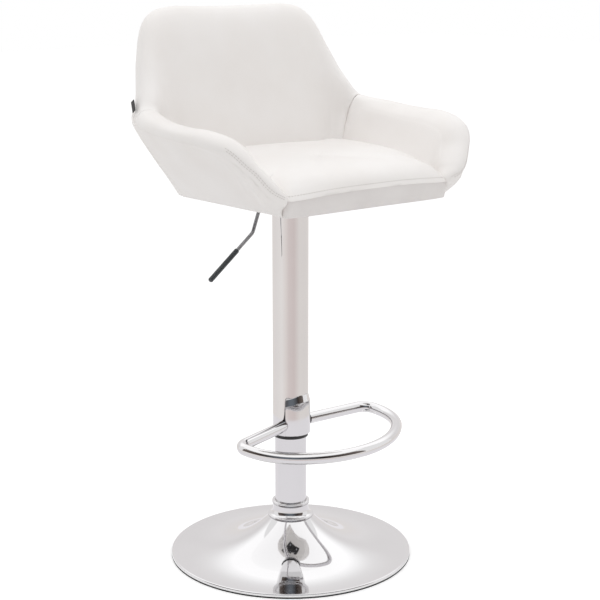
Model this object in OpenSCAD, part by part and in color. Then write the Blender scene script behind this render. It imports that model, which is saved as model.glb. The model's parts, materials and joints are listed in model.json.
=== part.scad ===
// Adjustable swivel stool: gas-lift column on a trumpet base, with an upholstered bucket seat.
// Millimetres, +Z up. The origin is on the column's axis at the floor; the sitter faces -Y.

/* [Base] */
// Diameter of the base plate
base_d = 385; // [340:5:450]
// Height of the base's rounded rim
rim_h = 7; // [6:0.5:12]
// Height of the neck that the collar sits on
neck_h = 62; // [50:1:80]
// Diameter of the neck
neck_d = 70; // [66:1:76]
// Thickness of the spun cover sheet
sheet_t = 1.6; // [1:0.1:2]
// How sharply the trumpet flares: 2 is soft, 4 is sharp
flare = 3; // [2.5:0.1:3.5]
// Height of the rubber ring on the floor
floor_ring_h = 2.5; // [2:0.1:3]
// Width of the rubber ring
floor_ring_w = 9; // [6:0.5:14]
// Thickness of the weight plate
weight_t = 2.7; // [2:0.1:3]
// Clearance between the ballast disc's top edge and the cover
ballast_gap = 0.4; // [0.2:0.1:2]
// Thickness of the ballast disc
ballast_t = 5.6; // [3:0.1:6]

/* [Column hub and collar] */
// Diameter of the hub's flange
hub_flange_d = 96; // [90:1:104]
// Thickness of the hub's flange
hub_flange_t = 5; // [4:0.5:8]
// Outside diameter of the hub's socket
hub_d = 61; // [58:0.5:62]
// Diameter of the circle that the hub's bolts lie on
hub_pcd = 78; // [76:1:80]
// Diameter of the hub's bolts
hub_bolt_d = 8; // [6:1:8]
// Height of the chromed collar
collar_h = 26; // [22:1:34]
// Diameter of the collar's lower lip
collar_lip_d = 74; // [72:1:80]
// Diameter of the collar's upper rim
collar_rim_d = 60; // [58:1:64]

/* [Column] */
// Outside diameter of the fixed outer tube
tube_d = 50; // [48:0.5:52]
// Wall of the fixed outer tube
tube_t = 2; // [1.5:0.1:2.5]
// Height of the top of the outer tube
tube_top = 445; // [430:1:500]
// Length of the guide bush inside the outer tube's top
bush_l = 100; // [80:1:120]
// Diameter of the gas cylinder
cylinder_d = 28; // [27:0.5:30]
// Wall of the gas cylinder
cylinder_t = 1.5; // [1.2:0.1:2]
// Diameter of the piston rod
rod_d = 10; // [9:0.5:11]
// Travel of the gas lift
stroke = 210; // [180:1:215]
// Length of the rubber bumper round the rod
bumper_l = 20.6; // [16:0.2:24]
// Running clearance of turning and sliding fits, on the radius
fit = 0.05; // [0.02:0.01:0.08]

/* [Cover sleeve] */
// Outside diameter of the sliding cover sleeve
sleeve_d = 56.4; // [56:0.2:58]
// Wall of the cover sleeve
sleeve_t = 1.2; // [1:0.1:1.3]
// Height of the sleeve's lower edge with the seat down
sleeve_bottom = 201; // [195:1:210]
// Height of the guide ring's lip below the sleeve
guide_lip_h = 5; // [3:0.5:7]
// Height of the guide ring inside the sleeve
guide_h = 15; // [10:1:25]

/* [Footrest] */
// Diameter of the footrest's tube
loop_tube_d = 18; // [16:0.5:20]
// Height of the loop's centre line at the column
loop_h = 219; // [216:1:225]
// Reach of the loop in front of the column, to its centre line
loop_reach = 166; // [160:1:180]
// Radius of the front arc
loop_front_r = 175; // [165:1:190]
// Angle of the front arc to each side
loop_front_a = 40; // [37:0.5:42]
// Radius of the side arcs
loop_side_r = 100; // [92:1:105]
// Radius of the rear bends
loop_bend_r = 22; // [20:0.5:26]
// Angle that the rear bends turn through
loop_bend_a = 81; // [79:0.5:83]
// Slope of the loop down to the front
loop_tilt = 3; // [0:0.5:5]
// Turn of the footrest round the sleeve, from the seat's front
loop_turn = 8; // [0:1:12]
// Thickness of the bracket's plate
bracket_t = 3; // [2:0.2:4]
// Half of the angle that the bracket wraps round the sleeve
bracket_a = 62; // [56:1:70]
// Height of the bracket
bracket_h = 65; // [56:1:80]
// Height of the bracket's bevelled top band
bevel_h = 11; // [6:0.5:16]

/* [Height lever] */
// Diameter of the lever's rod
lever_d = 5.6; // [5:0.2:6.4]
// Diameter of the lever's grip
grip_d = 8; // [7:0.5:10]
// Length of the grip
grip_l = 66; // [50:1:75]
// Distance from the column's axis to the grip's end
lever_reach = 155; // [145:1:175]
// Drop of the grip's end below the lever's pivot
lever_drop = 104; // [98:1:110]
// Distance from the pivot to the column's axis
pivot_x = 24; // [22:0.5:27]
// Angle that the lever lifts through
lever_lift = 8; // [5:0.5:8]

/* [Seat mechanism] */
// Height of the seat shell's underside with the seat down
seat_h = 585; // [575:1:600]
// Side of the square seat plate
plate_w = 150; // [140:1:170]
// Thickness of the seat plate
plate_t = 2.5; // [2:0.1:3]
// Depth of the pressed housing under the plate
housing_h = 23; // [22.5:0.5:26]
// Length of the housing, along the lever
housing_l = 92; // [88:1:100]
// Width of the housing
housing_w = 68; // [60:1:80]
// Sheet of the housing
housing_t = 2; // [1.5:0.1:2.2]
// Spacing of the four seat bolts
bolt_pitch = 92; // [84:1:94]
// Diameter of the seat bolts
bolt_d = 8; // [6:1:8]
// Outside diameter of the tapered hub
cone_hub_d = 38; // [36:0.5:40]
// Length of the tapered hub
cone_hub_l = 32; // [26:1:40]

/* [Seat shell] */
// Thickness of the plywood seat board
board_t = 12; // [10:1:15]
// Width of the upholstered shell at its underside
shell_w = 310; // [300:2:330]
// Front of the shell's underside, from the column's axis
shell_front = 178; // [170:1:190]
// Back of the shell's underside, from the column's axis
shell_back = 88; // [80:1:100]
// Distance between the crests of the two arms
arm_span = 454; // [440:2:470]
// Height of the arms' crests above the underside
arm_h = 125; // [118:1:135]
// Height of the backrest's top above the underside
back_h = 281; // [265:1:300]
// Distance that the backrest's top lies behind the column's axis
back_rake = 160; // [150:1:170]
// Width of the backrest at its top
back_top_w = 316; // [300:2:330]
// Radius of the padded rim
rim_r = 22; // [19:0.5:23]
// Thickness of the padded wall at its foot
foot_t = 27; // [24:0.5:30]
// Thickness of the moulded inner shell
core_t = 8; // [6:0.5:9]

/* [Seat cushion] */
// Height of the cushion's surface above the seat board
cushion_t = 50; // [40:1:55]
// Front of the cushion, from the column's axis
cushion_front = 197; // [194:1:202]
// Width of the blank side tag
tag_w = 7; // [6:1:14]
// Height of the side tag
tag_h = 21; // [12:1:28]
// Lean of the side tag from the line of the roll, towards the rear, degrees
tag_lean = 12; // [0:1:20]

/* [Hidden] */
$fn = 64;

// Base
base_r = base_d / 2;
neck_r = neck_d / 2;
weight_z = floor_ring_h;
ballast_z = weight_z + weight_t;
hub_z = ballast_z + ballast_t;
edge_r = 2;
tube_r = tube_d / 2;
neck_hole_r = tube_r + 1;
hub_top = neck_h - 2 * sheet_t;

// Column
bore_r = tube_r - tube_t;
cyl_r = cylinder_d / 2;
rod_r = rod_d / 2;
stem_r = rod_r - 1;
end_plate_z = hub_z + 3.2;
end_plate_t = 3;
race_t = 2;
ball_d = 3;
race_r = 14;
ball_ring_r = 9.8;
lower_race_z = end_plate_z + end_plate_t;
ball_z = lower_race_z + race_t + ball_d / 2;
upper_race_z = ball_z + ball_d / 2 + 0.1;
rod_z = upper_race_z + race_t;
clip_t = 1;
clip_z = end_plate_z - 0.3 - clip_t;
clip_groove_r = stem_r - 0.8;
stem_z = clip_z - 1.4;
bumper_top = rod_z + bumper_l;
cyl_z = bumper_top + 0.3;
gland_l = 18;
piston_l = 16;
gland_z = cyl_z + 1;
piston_z = gland_z + gland_l + stroke + 0.3;
taper_l = 34;
taper_drop = 0.9;

// Mechanism: heights hang from the seat shell's underside
cover_t = 0.8;
plate_top = seat_h - cover_t;
plate_z = plate_top - plate_t;
housing_z = plate_z - housing_h;
floor_top = housing_z + housing_t;
pin_travel = 4;
cyl_top = floor_top + 2;
pin_out = 5.2;
pin_top = cyl_top + pin_out;
pin_gap = 0.4;
pin_chamfer = 2;
pin_r = 4;
lever_r = lever_d / 2;
lever_z = pin_top + pin_gap + lever_r;
pivot_r = 2.5;
boss_r = 5.5;
boss_l = 14;
ear_t = 2.5;
ear_gap = 0.3;
head_t = 2;
housing_back = housing_l - 52;
housing_front = 52;
hub2_z = floor_top + 1.5 - cone_hub_l;
slot_gap = 0.1;
slot_w = lever_d + 2.4;
slot_lift = (housing_front - pivot_x) * tan(lever_lift) + 1.6;

// Sleeve
sleeve_r = sleeve_d / 2;
sleeve_bore_r = sleeve_r - sleeve_t;
top_ring_t = 2;
sleeve_top = housing_z - top_ring_t;
top_ring_h = 12;

// Footrest
loop_r = loop_tube_d / 2;
saddle_r = sleeve_r + bracket_t;
bracket_z = sleeve_bottom + 1;

// Seat shell
board_r = 16;
soft_gap = 0.3;
shell_gap = 0.2;
pad_gap = 2;
board_x = shell_w / 2 - foot_t - 2 * soft_gap;
board_y1 = shell_back - foot_t - 2 * soft_gap;
board_y0 = shell_front - foot_t - 1;

// ---------------------------------------------------------------- shared shapes

// A ring between two radii, standing on height z
module tube(r_out, r_in, z, h) {
    translate([0, 0, z]) difference() {
        cylinder(r = r_out, h = h);
        translate([0, 0, -1]) cylinder(r = r_in, h = h + 2);
    }
}

// A rectangle with rounded corners, from x = -x1 to x1 and y = y0 to y1
module rounded_plate(x1, y0, y1, r, h) {
    linear_extrude(height = h) union() {
        translate([-x1 + r, y0]) square([2 * (x1 - r), y1 - y0]);
        translate([-x1, y0 + r]) square([2 * x1, y1 - y0 - 2 * r]);
        for (x = [-x1 + r, x1 - r], y = [y0 + r, y1 - r]) translate([x, y]) circle(r = r);
    }
}

// Four copies at the corners of a square
module at_corners(pitch) {
    for (x = [-pitch / 2, pitch / 2], y = [-pitch / 2, pitch / 2]) translate([x, y, 0]) children();
}

// Copies on a circle
module on_circle(count, r) {
    for (i = [0 : count - 1]) rotate([0, 0, i * 360 / count]) translate([r, 0, 0]) children();
}

// Points on an arc in a plane, from angle a0 to a1, about one every step degrees
function arc(centre, r, a0, a1, step) = let (n = ceil(abs(a1 - a0) / step))
    [for (i = [0 : n]) let (a = a0 + (a1 - a0) * i / n) centre + r * [cos(a), sin(a)]];

// A round bar that follows a path in the XY plane
module bent_bar(path, r, sides) {
    n = len(path);
    along = [for (i = [0 : n - 1]) let (d = path[min(i + 1, n - 1)] - path[max(i - 1, 0)]) d / norm(d)];
    points = [for (i = [0 : n - 1], j = [0 : sides - 1]) let (a = 360 * j / sides)
        [path[i][0] - along[i][1] * r * cos(a), path[i][1] + along[i][0] * r * cos(a), r * sin(a)]];
    walls = [for (i = [0 : n - 2], j = [0 : sides - 1]) let (a = i * sides + j, b = i * sides + (j + 1) % sides)
        [a, a + sides, b + sides, b]];
    near = [for (j = [0 : sides - 1]) j];
    far = [for (j = [sides - 1 : -1 : 0]) (n - 1) * sides + j];
    polyhedron(points = points, faces = concat(walls, [near], [far]), convexity = 8);
}

// ---------------------------------------------------------------- base

// Height of the trumpet's outer face at radius r
function trumpet(r) = rim_h + (neck_h - rim_h) * pow((base_r - r) / (base_r - neck_r), flare);

function trumpet_slope(r) = flare * (neck_h - rim_h) / (base_r - neck_r) * pow((base_r - r) / (base_r - neck_r), flare - 1);

// Radius where the trumpet's outer face is at height z
function trumpet_radius(z) = base_r - (base_r - neck_r) * pow((z - rim_h) / (neck_h - rim_h), 1 / flare);

// Points along the trumpet, t below its outer face
function trumpet_line(t, r0, r1, n) = [for (i = [0 : n]) let (r = r0 + (r1 - r0) * i / n, q = max(r, neck_r))
    [r, trumpet(q) - t * sqrt(1 + pow(trumpet_slope(q), 2))]];

module floor_ring() {
    color("#1c1c1e") tube(base_r, base_r - floor_ring_w, 0, floor_ring_h);
}

module weight_plate() {
    color("#54565a") difference() {
        translate([0, 0, weight_z]) cylinder(r = base_r - sheet_t - edge_r, h = weight_t);
        translate([0, 0, weight_z - 1]) cylinder(r = stem_r + 4, h = weight_t + 2);
        on_circle(4, hub_pcd / 2) translate([0, 0, weight_z - 1]) cylinder(r = hub_bolt_d / 2 + 3, h = weight_t + 2);
    }
}

module ballast_disc() {
    color("#46484c") difference() {
        translate([0, 0, ballast_z]) cylinder(r = trumpet_radius(hub_z + sheet_t + ballast_gap), h = ballast_t);
        translate([0, 0, ballast_z - 1]) cylinder(r = stem_r + 4, h = ballast_t + 2);
        on_circle(4, hub_pcd / 2) translate([0, 0, ballast_z - 1]) cylinder(r = hub_bolt_d / 2, h = ballast_t + 2);
    }
}

module base_cover() {
    steps = 28;
    outer = trumpet_line(0, base_r - edge_r, neck_r, steps);
    inner = trumpet_line(sheet_t, neck_r - sheet_t, base_r - sheet_t - edge_r / 2, steps);
    rim = [for (a = [0 : 22.5 : 67.5]) [base_r - edge_r + edge_r * cos(a), rim_h - edge_r + edge_r * sin(a)]];
    color("#d9dbde") rotate_extrude($fn = 128) polygon(concat(
        [[base_r - sheet_t, floor_ring_h], [base_r, floor_ring_h]],
        rim,
        outer,
        [[neck_r - 1.5, neck_h], [neck_hole_r, neck_h], [neck_hole_r, neck_h - sheet_t]],
        inner,
        [[base_r - sheet_t, rim_h - edge_r - sheet_t / 2]]));
}

module column_hub() {
    color("#6b6d72") difference() {
        union() {
            translate([0, 0, hub_z]) cylinder(r = hub_flange_d / 2, h = hub_flange_t);
            translate([0, 0, hub_z]) cylinder(r = hub_d / 2, h = hub_top - hub_z);
        }
        translate([0, 0, hub_z - 1]) cylinder(r = tube_r, h = neck_h);
        on_circle(4, hub_pcd / 2) translate([0, 0, hub_z - 1]) cylinder(r = hub_bolt_d / 2, h = hub_flange_t + 2);
    }
}

module hub_bolts() {
    head_h = weight_t - 0.2;
    color("#8c8e92") on_circle(4, hub_pcd / 2) difference() {
        union() {
            translate([0, 0, ballast_z - head_h]) cylinder(r = hub_bolt_d / 2 + 2.5, h = head_h);
            translate([0, 0, ballast_z]) cylinder(r = hub_bolt_d / 2, h = ballast_t + hub_flange_t + 1);
        }
        translate([0, 0, ballast_z - head_h - 1]) cylinder(r = hub_bolt_d / 4 + 0.5, h = 2.4, $fn = 6);
    }
}

module collar() {
    lip_r = collar_lip_d / 2;
    top_r = collar_rim_d / 2;
    z0 = neck_h;
    z1 = neck_h + collar_h;
    waist_r = top_r - 1.8;
    lip_t = 3.6;
    sweep = [for (a = [0 : 15 : 90])
        [lip_r - 1.6 - (lip_r - 1.6 - waist_r) * sin(a), z0 + lip_t + (collar_h * 0.42) * (1 - cos(a))]];
    color("#d9dbde") rotate_extrude($fn = 96) polygon(concat(
        [[tube_r, z0], [lip_r - 1.2, z0], [lip_r, z0 + 1.2], [lip_r, z0 + lip_t - 1], [lip_r - 1, z0 + lip_t]],
        sweep,
        [[waist_r, z1 - 6.4], [top_r - 0.6, z1 - 5.4], [top_r, z1 - 4.4], [top_r, z1 - 1.6],
         [top_r - 0.5, z1 - 0.5], [top_r - 1.6, z1], [tube_r + 0.8, z1], [tube_r, z1 - 0.8]]));
}

// ---------------------------------------------------------------- fixed column

module outer_tube() {
    color("#d6d8dc") tube(tube_r, bore_r, hub_z, tube_top - hub_z);
}

module tube_end_plate() {
    color("#8c8e92") tube(bore_r, stem_r + fit, end_plate_z, end_plate_t);
}

module guide_bush() {
    lip_h = 2.5;
    color("#232326") difference() {
        union() {
            translate([0, 0, tube_top - bush_l]) cylinder(r = bore_r, h = bush_l);
            translate([0, 0, tube_top]) cylinder(r = tube_r - 0.4, h = lip_h);
        }
        translate([0, 0, tube_top - bush_l - 1]) cylinder(r = cyl_r + fit, h = bush_l + lip_h + 2);
    }
}

module bearing_lower_race() {
    color("#b9bbbe") tube(race_r, stem_r + 0.3, lower_race_z, race_t);
}

module bearing_balls() {
    cage_t = 1.2;
    color("#c9cbce") difference() {
        union() {
            tube(race_r - 0.8, stem_r + 0.8, ball_z - cage_t / 2, cage_t);
            on_circle(8, ball_ring_r) translate([0, 0, ball_z]) sphere(d = ball_d);
        }
    }
}

module bearing_upper_race() {
    color("#b9bbbe") tube(race_r, stem_r, upper_race_z, race_t);
}

module rod_clip() {
    color("#3a3b3e") tube(stem_r + 2.6, clip_groove_r, clip_z, clip_t);
}

module piston_rod() {
    color("#c4c6ca") union() {
        translate([0, 0, rod_z]) cylinder(r = rod_r, h = piston_z - rod_z);
        translate([0, 0, clip_z + clip_t]) cylinder(r = stem_r, h = rod_z - clip_z - clip_t);
        translate([0, 0, clip_z]) cylinder(r = clip_groove_r, h = clip_t);
        translate([0, 0, stem_z]) cylinder(r = stem_r, h = clip_z - stem_z);
    }
}

module piston() {
    color("#77797d") difference() {
        translate([0, 0, piston_z]) cylinder(r = cyl_r - cylinder_t - fit, h = piston_l);
        translate([0, 0, piston_z + piston_l / 2]) tube(cyl_r, cyl_r - cylinder_t - 1.6, -1.5, 3);
    }
}

module bumper() {
    color("#1d1d1f") tube(rod_r + 7.5, rod_r + 0.3, rod_z, bumper_l);
}

// ---------------------------------------------------------------- gas cylinder and seat mechanism

module gas_cylinder() {
    cavity_top = cyl_top - 16;
    color("#2b2c2f") difference() {
        union() {
            translate([0, 0, cyl_z]) cylinder(r = cyl_r, h = cyl_top - taper_l - cyl_z);
            translate([0, 0, cyl_top - taper_l]) cylinder(r1 = cyl_r, r2 = cyl_r - taper_drop, h = taper_l);
        }
        translate([0, 0, gland_z]) cylinder(r = cyl_r - cylinder_t, h = cavity_top - gland_z);
        translate([0, 0, cyl_z - 1]) cylinder(r = rod_r + 1.4, h = 3);
        translate([0, 0, pin_top - 15 - pin_travel]) cylinder(r = pin_r + fit, h = 30);
    }
}

module rod_gland() {
    color("#3a3b3e") tube(cyl_r - cylinder_t, rod_r + fit, gland_z, gland_l);
}

module valve_pin() {
    color("#c23b2e") translate([0, 0, pin_top - 15]) union() {
        cylinder(r = pin_r, h = 15 - pin_chamfer);
        translate([0, 0, 15 - pin_chamfer]) cylinder(r1 = pin_r, r2 = pin_r - pin_chamfer, h = pin_chamfer);
    }
}

module cone_hub() {
    color("#5d5f64") difference() {
        translate([0, 0, hub2_z]) cylinder(r = cone_hub_d / 2, h = cone_hub_l);
        translate([0, 0, cyl_top - taper_l]) cylinder(r1 = cyl_r + 0.02, r2 = cyl_r + 0.02 - taper_drop, h = taper_l);
        translate([0, 0, cyl_top - taper_l - 40]) cylinder(r = cyl_r + 0.02, h = 40);
        translate([0, 0, cyl_top - 0.01]) cylinder(r = cyl_r + 0.02 - taper_drop, h = 20);
    }
}

module mechanism_housing() {
    ear_y = boss_l / 2 + ear_gap;
    ear_z = floor_top - 0.5;
    color("#35373b") difference() {
        union() {
            difference() {
                translate([-housing_front, -housing_w / 2, housing_z]) cube([housing_l, housing_w, housing_h]);
                translate([-housing_front + housing_t, -housing_w / 2 + housing_t, floor_top])
                    cube([housing_l - 2 * housing_t, housing_w - 2 * housing_t, housing_h]);
            }
            for (y = [-ear_y - ear_t, ear_y]) translate([-pivot_x - boss_r, y, ear_z])
                cube([2 * boss_r, ear_t, lever_z + boss_r - ear_z]);
        }
        translate([0, 0, housing_z - 1]) cylinder(r = cone_hub_d / 2, h = housing_t + 2);
        translate([-housing_front - 1, -slot_w / 2, lever_z - lever_r - slot_gap])
            cube([housing_t + 2, slot_w, lever_d + slot_lift]);
        translate([-pivot_x, 0, lever_z]) rotate([90, 0, 0]) cylinder(r = pivot_r, h = 40, center = true);
    }
}

module seat_plate() {
    color("#35373b") difference() {
        translate([0, 0, plate_z]) rounded_plate(plate_w / 2, -plate_w / 2, plate_w / 2, 10, plate_t);
        at_corners(bolt_pitch) translate([0, 0, plate_z - 1]) cylinder(r = bolt_d / 2 + 0.4, h = plate_t + 2);
    }
}

module pivot_pin() {
    pin_l = boss_l + 2 * (ear_gap + ear_t) + 1;
    color("#a3a5a9") translate([-pivot_x, 0, lever_z]) rotate([90, 0, 0]) union() {
        cylinder(r = pivot_r, h = pin_l, center = true);
        translate([0, 0, pin_l / 2]) cylinder(r = pivot_r + 1.5, h = head_t);
    }
}

// ---------------------------------------------------------------- lever

lever_turn_1 = 69.4;
lever_bend_1 = 9;
lever_bend_2 = 14;
lever_neck_l = 42.7;
elbow = [-58.5, 0];
knee_at = elbow + lever_neck_l * [-cos(lever_turn_1), -sin(lever_turn_1)];
grip_end = [-lever_reach, -lever_drop];
lever_tail_a = atan2(knee_at[1] - grip_end[1], knee_at[0] - grip_end[0]);
lever_turn_2 = lever_turn_1 - lever_tail_a;

// Points round the bend at corner p, between headings a0 and a1 (degrees below the -X direction)
function bend(p, a0, a1, r) = let (
    side = a1 > a0 ? 1 : -1,
    centre = p - r * tan(abs(a1 - a0) / 2) * [-cos(a0), -sin(a0)] + side * r * [sin(a0), -cos(a0)])
    side > 0 ? arc(centre, r, 90 + a0, 90 + a1, 8) : arc(centre, r, a0 - 90, a1 - 90, 6);

module lever_rod() {
    tail = grip_end - knee_at;
    path = concat([[5, 0]], bend(elbow, 0, lever_turn_1, lever_bend_1),
        bend(knee_at, lever_turn_1, lever_tail_a, lever_bend_2), [knee_at + tail * (1 - 4 / norm(tail))]);
    color("#8f9296") translate([0, 0, lever_z]) difference() {
        union() {
            rotate([90, 0, 0]) bent_bar(path, lever_r, 24);
            translate([-pivot_x, 0, 0]) rotate([90, 0, 0]) cylinder(r = boss_r, h = boss_l, center = true);
        }
        translate([-pivot_x, 0, 0]) rotate([90, 0, 0]) cylinder(r = pivot_r + fit, h = 40, center = true);
    }
}

module lever_grip() {
    tail = grip_end - knee_at;
    d = tail / norm(tail);
    start = grip_end - d * grip_l;
    grip_r = grip_d / 2;
    color("#3f464a") translate([start[0], 0, lever_z + start[1]]) rotate([0, atan2(d[0], d[1]), 0]) difference() {
        union() {
            cylinder(r1 = grip_r - 0.6, r2 = grip_r, h = 0.6);
            translate([0, 0, 0.6]) cylinder(r = grip_r, h = grip_l - 2.6);
            translate([0, 0, grip_l - 2]) cylinder(r1 = grip_r, r2 = grip_r - 1.6, h = 2);
        }
        translate([0, 0, -1]) cylinder(r = lever_r, h = grip_l - 3);
    }
}

// ---------------------------------------------------------------- cover sleeve and footrest

module cover_sleeve() {
    color("#d2d4d8") tube(sleeve_r, sleeve_bore_r, sleeve_bottom, sleeve_top - sleeve_bottom);
}

module sleeve_guide_ring() {
    color("#17171a") difference() {
        union() {
            translate([0, 0, sleeve_bottom - guide_lip_h]) cylinder(r = sleeve_r - 0.5, h = guide_lip_h);
            translate([0, 0, sleeve_bottom]) cylinder(r = sleeve_bore_r, h = guide_h);
        }
        translate([0, 0, sleeve_bottom - guide_lip_h - 1]) cylinder(r = tube_r + fit, h = guide_h + guide_lip_h + 2);
    }
}

module sleeve_top_ring() {
    color("#232326") difference() {
        union() {
            translate([0, 0, sleeve_top]) cylinder(r = sleeve_r, h = top_ring_t);
            translate([0, 0, sleeve_top - top_ring_h]) cylinder(r = sleeve_bore_r, h = top_ring_h);
        }
        translate([0, 0, sleeve_top - top_ring_h - 1]) cylinder(r = cone_hub_d / 2, h = top_ring_h + top_ring_t + 2);
    }
}

module footrest_bracket() {
    top = bracket_z + bracket_h;
    shoulder = 8;
    peak = saddle_r + 1;
    color("#c9ccd2") rotate([0, 0, loop_turn]) intersection() {
        rotate([0, 0, -90 - bracket_a]) rotate_extrude(angle = 2 * bracket_a, $fn = 128) polygon([
            [sleeve_r, bracket_z], [saddle_r, bracket_z], [saddle_r, top - bevel_h],
            [saddle_r - bracket_t * 0.55, top - bevel_h * 0.35], [sleeve_r + 0.4, top], [sleeve_r, top]]);
        translate([0, 0, bracket_z - 1]) rotate([90, 0, 0]) linear_extrude(height = 60) polygon([
            [-peak, 0], [peak, 0], [peak, bracket_h - shoulder + 1], [10, bracket_h + 1],
            [-10, bracket_h + 1], [-peak, bracket_h - shoulder + 1]]);
    }
}

// The loop's centre line in its own plane, from the saddle round the +X side to the front's middle
function half_loop() = let (
    front_c = [0, -loop_reach + loop_front_r],
    side_c = front_c + (loop_front_r - loop_side_r) * [sin(loop_front_a), -cos(loop_front_a)],
    bend_c = side_c + [loop_side_r - loop_bend_r, 0],
    arm = bend_c + loop_bend_r * [cos(loop_bend_a), sin(loop_bend_a)],
    arm_l = arm[0] / sin(loop_bend_a) - 14)
    concat(
        [arm + arm_l * [-sin(loop_bend_a), cos(loop_bend_a)]],
        arc(bend_c, loop_bend_r, loop_bend_a, 0, 9),
        [for (i = [1 : 10]) side_c + loop_side_r * [cos(i * (loop_front_a - 90) / 10), sin(i * (loop_front_a - 90) / 10)]],
        [for (i = [1 : 10]) let (a = loop_front_a * (1 - i / 10)) front_c + loop_front_r * [sin(a), -cos(a)]]);

module footrest_loop() {
    right = half_loop();
    left = [for (i = [len(right) - 2 : -1 : 0]) [-right[i][0], right[i][1]]];
    color("#d9dbde") rotate([0, 0, loop_turn]) difference() {
        translate([0, 0, loop_h]) rotate([loop_tilt, 0, 0]) bent_bar(concat(right, left), loop_r, 28);
        translate([0, 0, loop_h - 60]) cylinder(r = saddle_r, h = 120, $fn = 128);
    }
}

// ---------------------------------------------------------------- seat board and fixings

module seat_bolts() {
    head_h = 5;
    head_z = plate_z - 1.6 - head_h;
    color("#9a9ca0") at_corners(bolt_pitch) translate([0, 0, head_z]) difference() {
        union() {
            cylinder(r = bolt_d / 2 + 2.6, h = head_h, $fn = 6);
            translate([0, 0, head_h]) cylinder(r = bolt_d / 2, h = seat_h + board_t - 2.5 - head_z - head_h);
        }
    }
}

module seat_washers() {
    color("#b4b6ba") at_corners(bolt_pitch) tube(bolt_d / 2 + 4, bolt_d / 2, plate_z - 1.6, 1.6);
}

module tee_nuts() {
    flange_t = 1.2;
    color("#b4b6ba") at_corners(bolt_pitch) difference() {
        union() {
            translate([0, 0, seat_h + 2]) cylinder(r = bolt_d / 2 + 1.4, h = board_t - 2 - flange_t);
            translate([0, 0, seat_h + board_t - flange_t]) cylinder(r = bolt_d / 2 + 6, h = flange_t);
        }
        translate([0, 0, seat_h]) cylinder(r = bolt_d / 2, h = board_t + 2);
    }
}

module dust_cover() {
    color("#dedbd7") difference() {
        translate([0, 0, seat_h - cover_t]) rounded_plate(board_x + 14, -board_y0 - 12, board_y1 + 12, board_r, cover_t);
        at_corners(bolt_pitch) translate([0, 0, seat_h - cover_t - 1]) cylinder(r = bolt_d / 2 + 0.4, h = cover_t + 2);
    }
}

module seat_board() {
    flange_t = 1.2;
    color("#c9a877") difference() {
        translate([0, 0, seat_h]) rounded_plate(board_x, -board_y0, board_y1, board_r, board_t);
        at_corners(bolt_pitch) {
            translate([0, 0, seat_h + 2]) cylinder(r = bolt_d / 2 + 1.4, h = board_t);
            translate([0, 0, seat_h - 1]) cylinder(r = bolt_d / 2 + 0.4, h = board_t);
            translate([0, 0, seat_h + board_t - flange_t]) cylinder(r = bolt_d / 2 + 6, h = flange_t + 1);
        }
    }
}

// ---------------------------------------------------------------- upholstered wall
// The wall runs from the left arm's front end, round the back, to the right arm's front end.
// Each row is one station on the right half:
// [foot x, y, knee x, y, height, rim centre x, y, height, rim radius, heading of the outside, wall at the knee]

fx = shell_w / 2;
fb = shell_back;
ff = -shell_front;
fr = 30;
ax = arm_span / 2;
az = arm_h - rim_r;
bt = back_h - rim_r + 1;
bx = back_top_w / 2 - rim_r + 1;
by = back_rake;
br = rim_r - 1;

ROWS = [
    [0, fb, 0, fb + 50, 100, 0, by, bt + 2, br, 90, 45],
    [55, fb, 62, fb + 49, 100, 58, by, bt + 2, br, 89, 45],
    [fx - 50, fb, fx - 40, fb + 47, 100, bx - 23, by - 1, bt + 1, br, 84, 44],
    [fx - 25, fb, fx - 12, fb + 44, 100, bx + 8, by - 6, bt - 12, br, 70, 43],
    [fx - 9, fb - 3, fx + 14, fb + 38, 98, bx + 31, by - 24, bt - 60, br, 54, 42],
    [fx - 2, fb - 10, fx + 37, fb + 27, 95, bx + 49, by - 49, az + 50, br, 38, 42],
    [fx, fb - 27, fx + 59, fb + 1, 90, ax - 23, by - 78, az + 13, rim_r, 21, 41],
    [fx, fb - 76, fx + 58, fb - 72, 69, ax - 4, by - 150, az + 4, rim_r, 5, 40],
    [fx, fb - 133, fx + 53, fb - 135, 60, ax, by - 208, az, rim_r, 0, 38],
    [fx, fb - 181, fx + 49, fb - 185, 56, ax - 1, by - 258, az - 3, rim_r, -4, 36],
    [fx - 1, ff + 44, fx + 42, ff + 40, 48, ax - 10, ff + 40, az - 14, rim_r - 0.5, -12, 35],
    [fx - 2, ff + 19, fx + 28, ff + 20, 36, ax - 28, ff + 19, az - 38, rim_r - 2, -24, 33],
    [fx - 4, ff + 5, fx + 12, ff + 8, 20, ax - 49, ff + 6, az - 64, rim_r - 4, -35, 29],
    [fx - 7, ff, fx - 1, ff + 2, 9, ax - 72, ff + 3, az - 86, rim_r - 8, -42, 24]
];
LAST = len(ROWS) - 1;
SEAM = 6;
STEP = 0.35;

function flip(r) = [-r[0], r[1], -r[2], r[3], r[4], -r[5], r[6], r[7], r[8], 180 - r[9], r[10]];
function row(i) = let (k = min(abs(i), LAST)) i < 0 ? flip(ROWS[k]) : ROWS[k];
function blend_rows(a, b, c, d, t) =
    0.5 * (2 * b + (c - a) * t + (2 * a - 5 * b + 4 * c - d) * t * t + (3 * b - a - 3 * c + d) * t * t * t);
function station(s) = let (i = min(max(floor(s), -LAST), LAST - 1), t = s - i)
    blend_rows(row(i - 1), row(i), row(i + 1), row(i + 2), t);
function unit(v) = v / norm(v);
function rim_at(s) = let (q = station(s)) [q[5], q[6], q[7]];
function through(a, m, b, v) = a * (1 - v) * (1 - 2 * v) + m * 4 * v * (1 - v) + b * v * (2 * v - 1);

// One closed section of the wall at station s, grown outwards on every side by grow
function section(s, grow) = let (q = station(s))
    profile(s, -grow, -grow, foot_t + grow, q[10] + grow, q[8] + grow);

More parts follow.
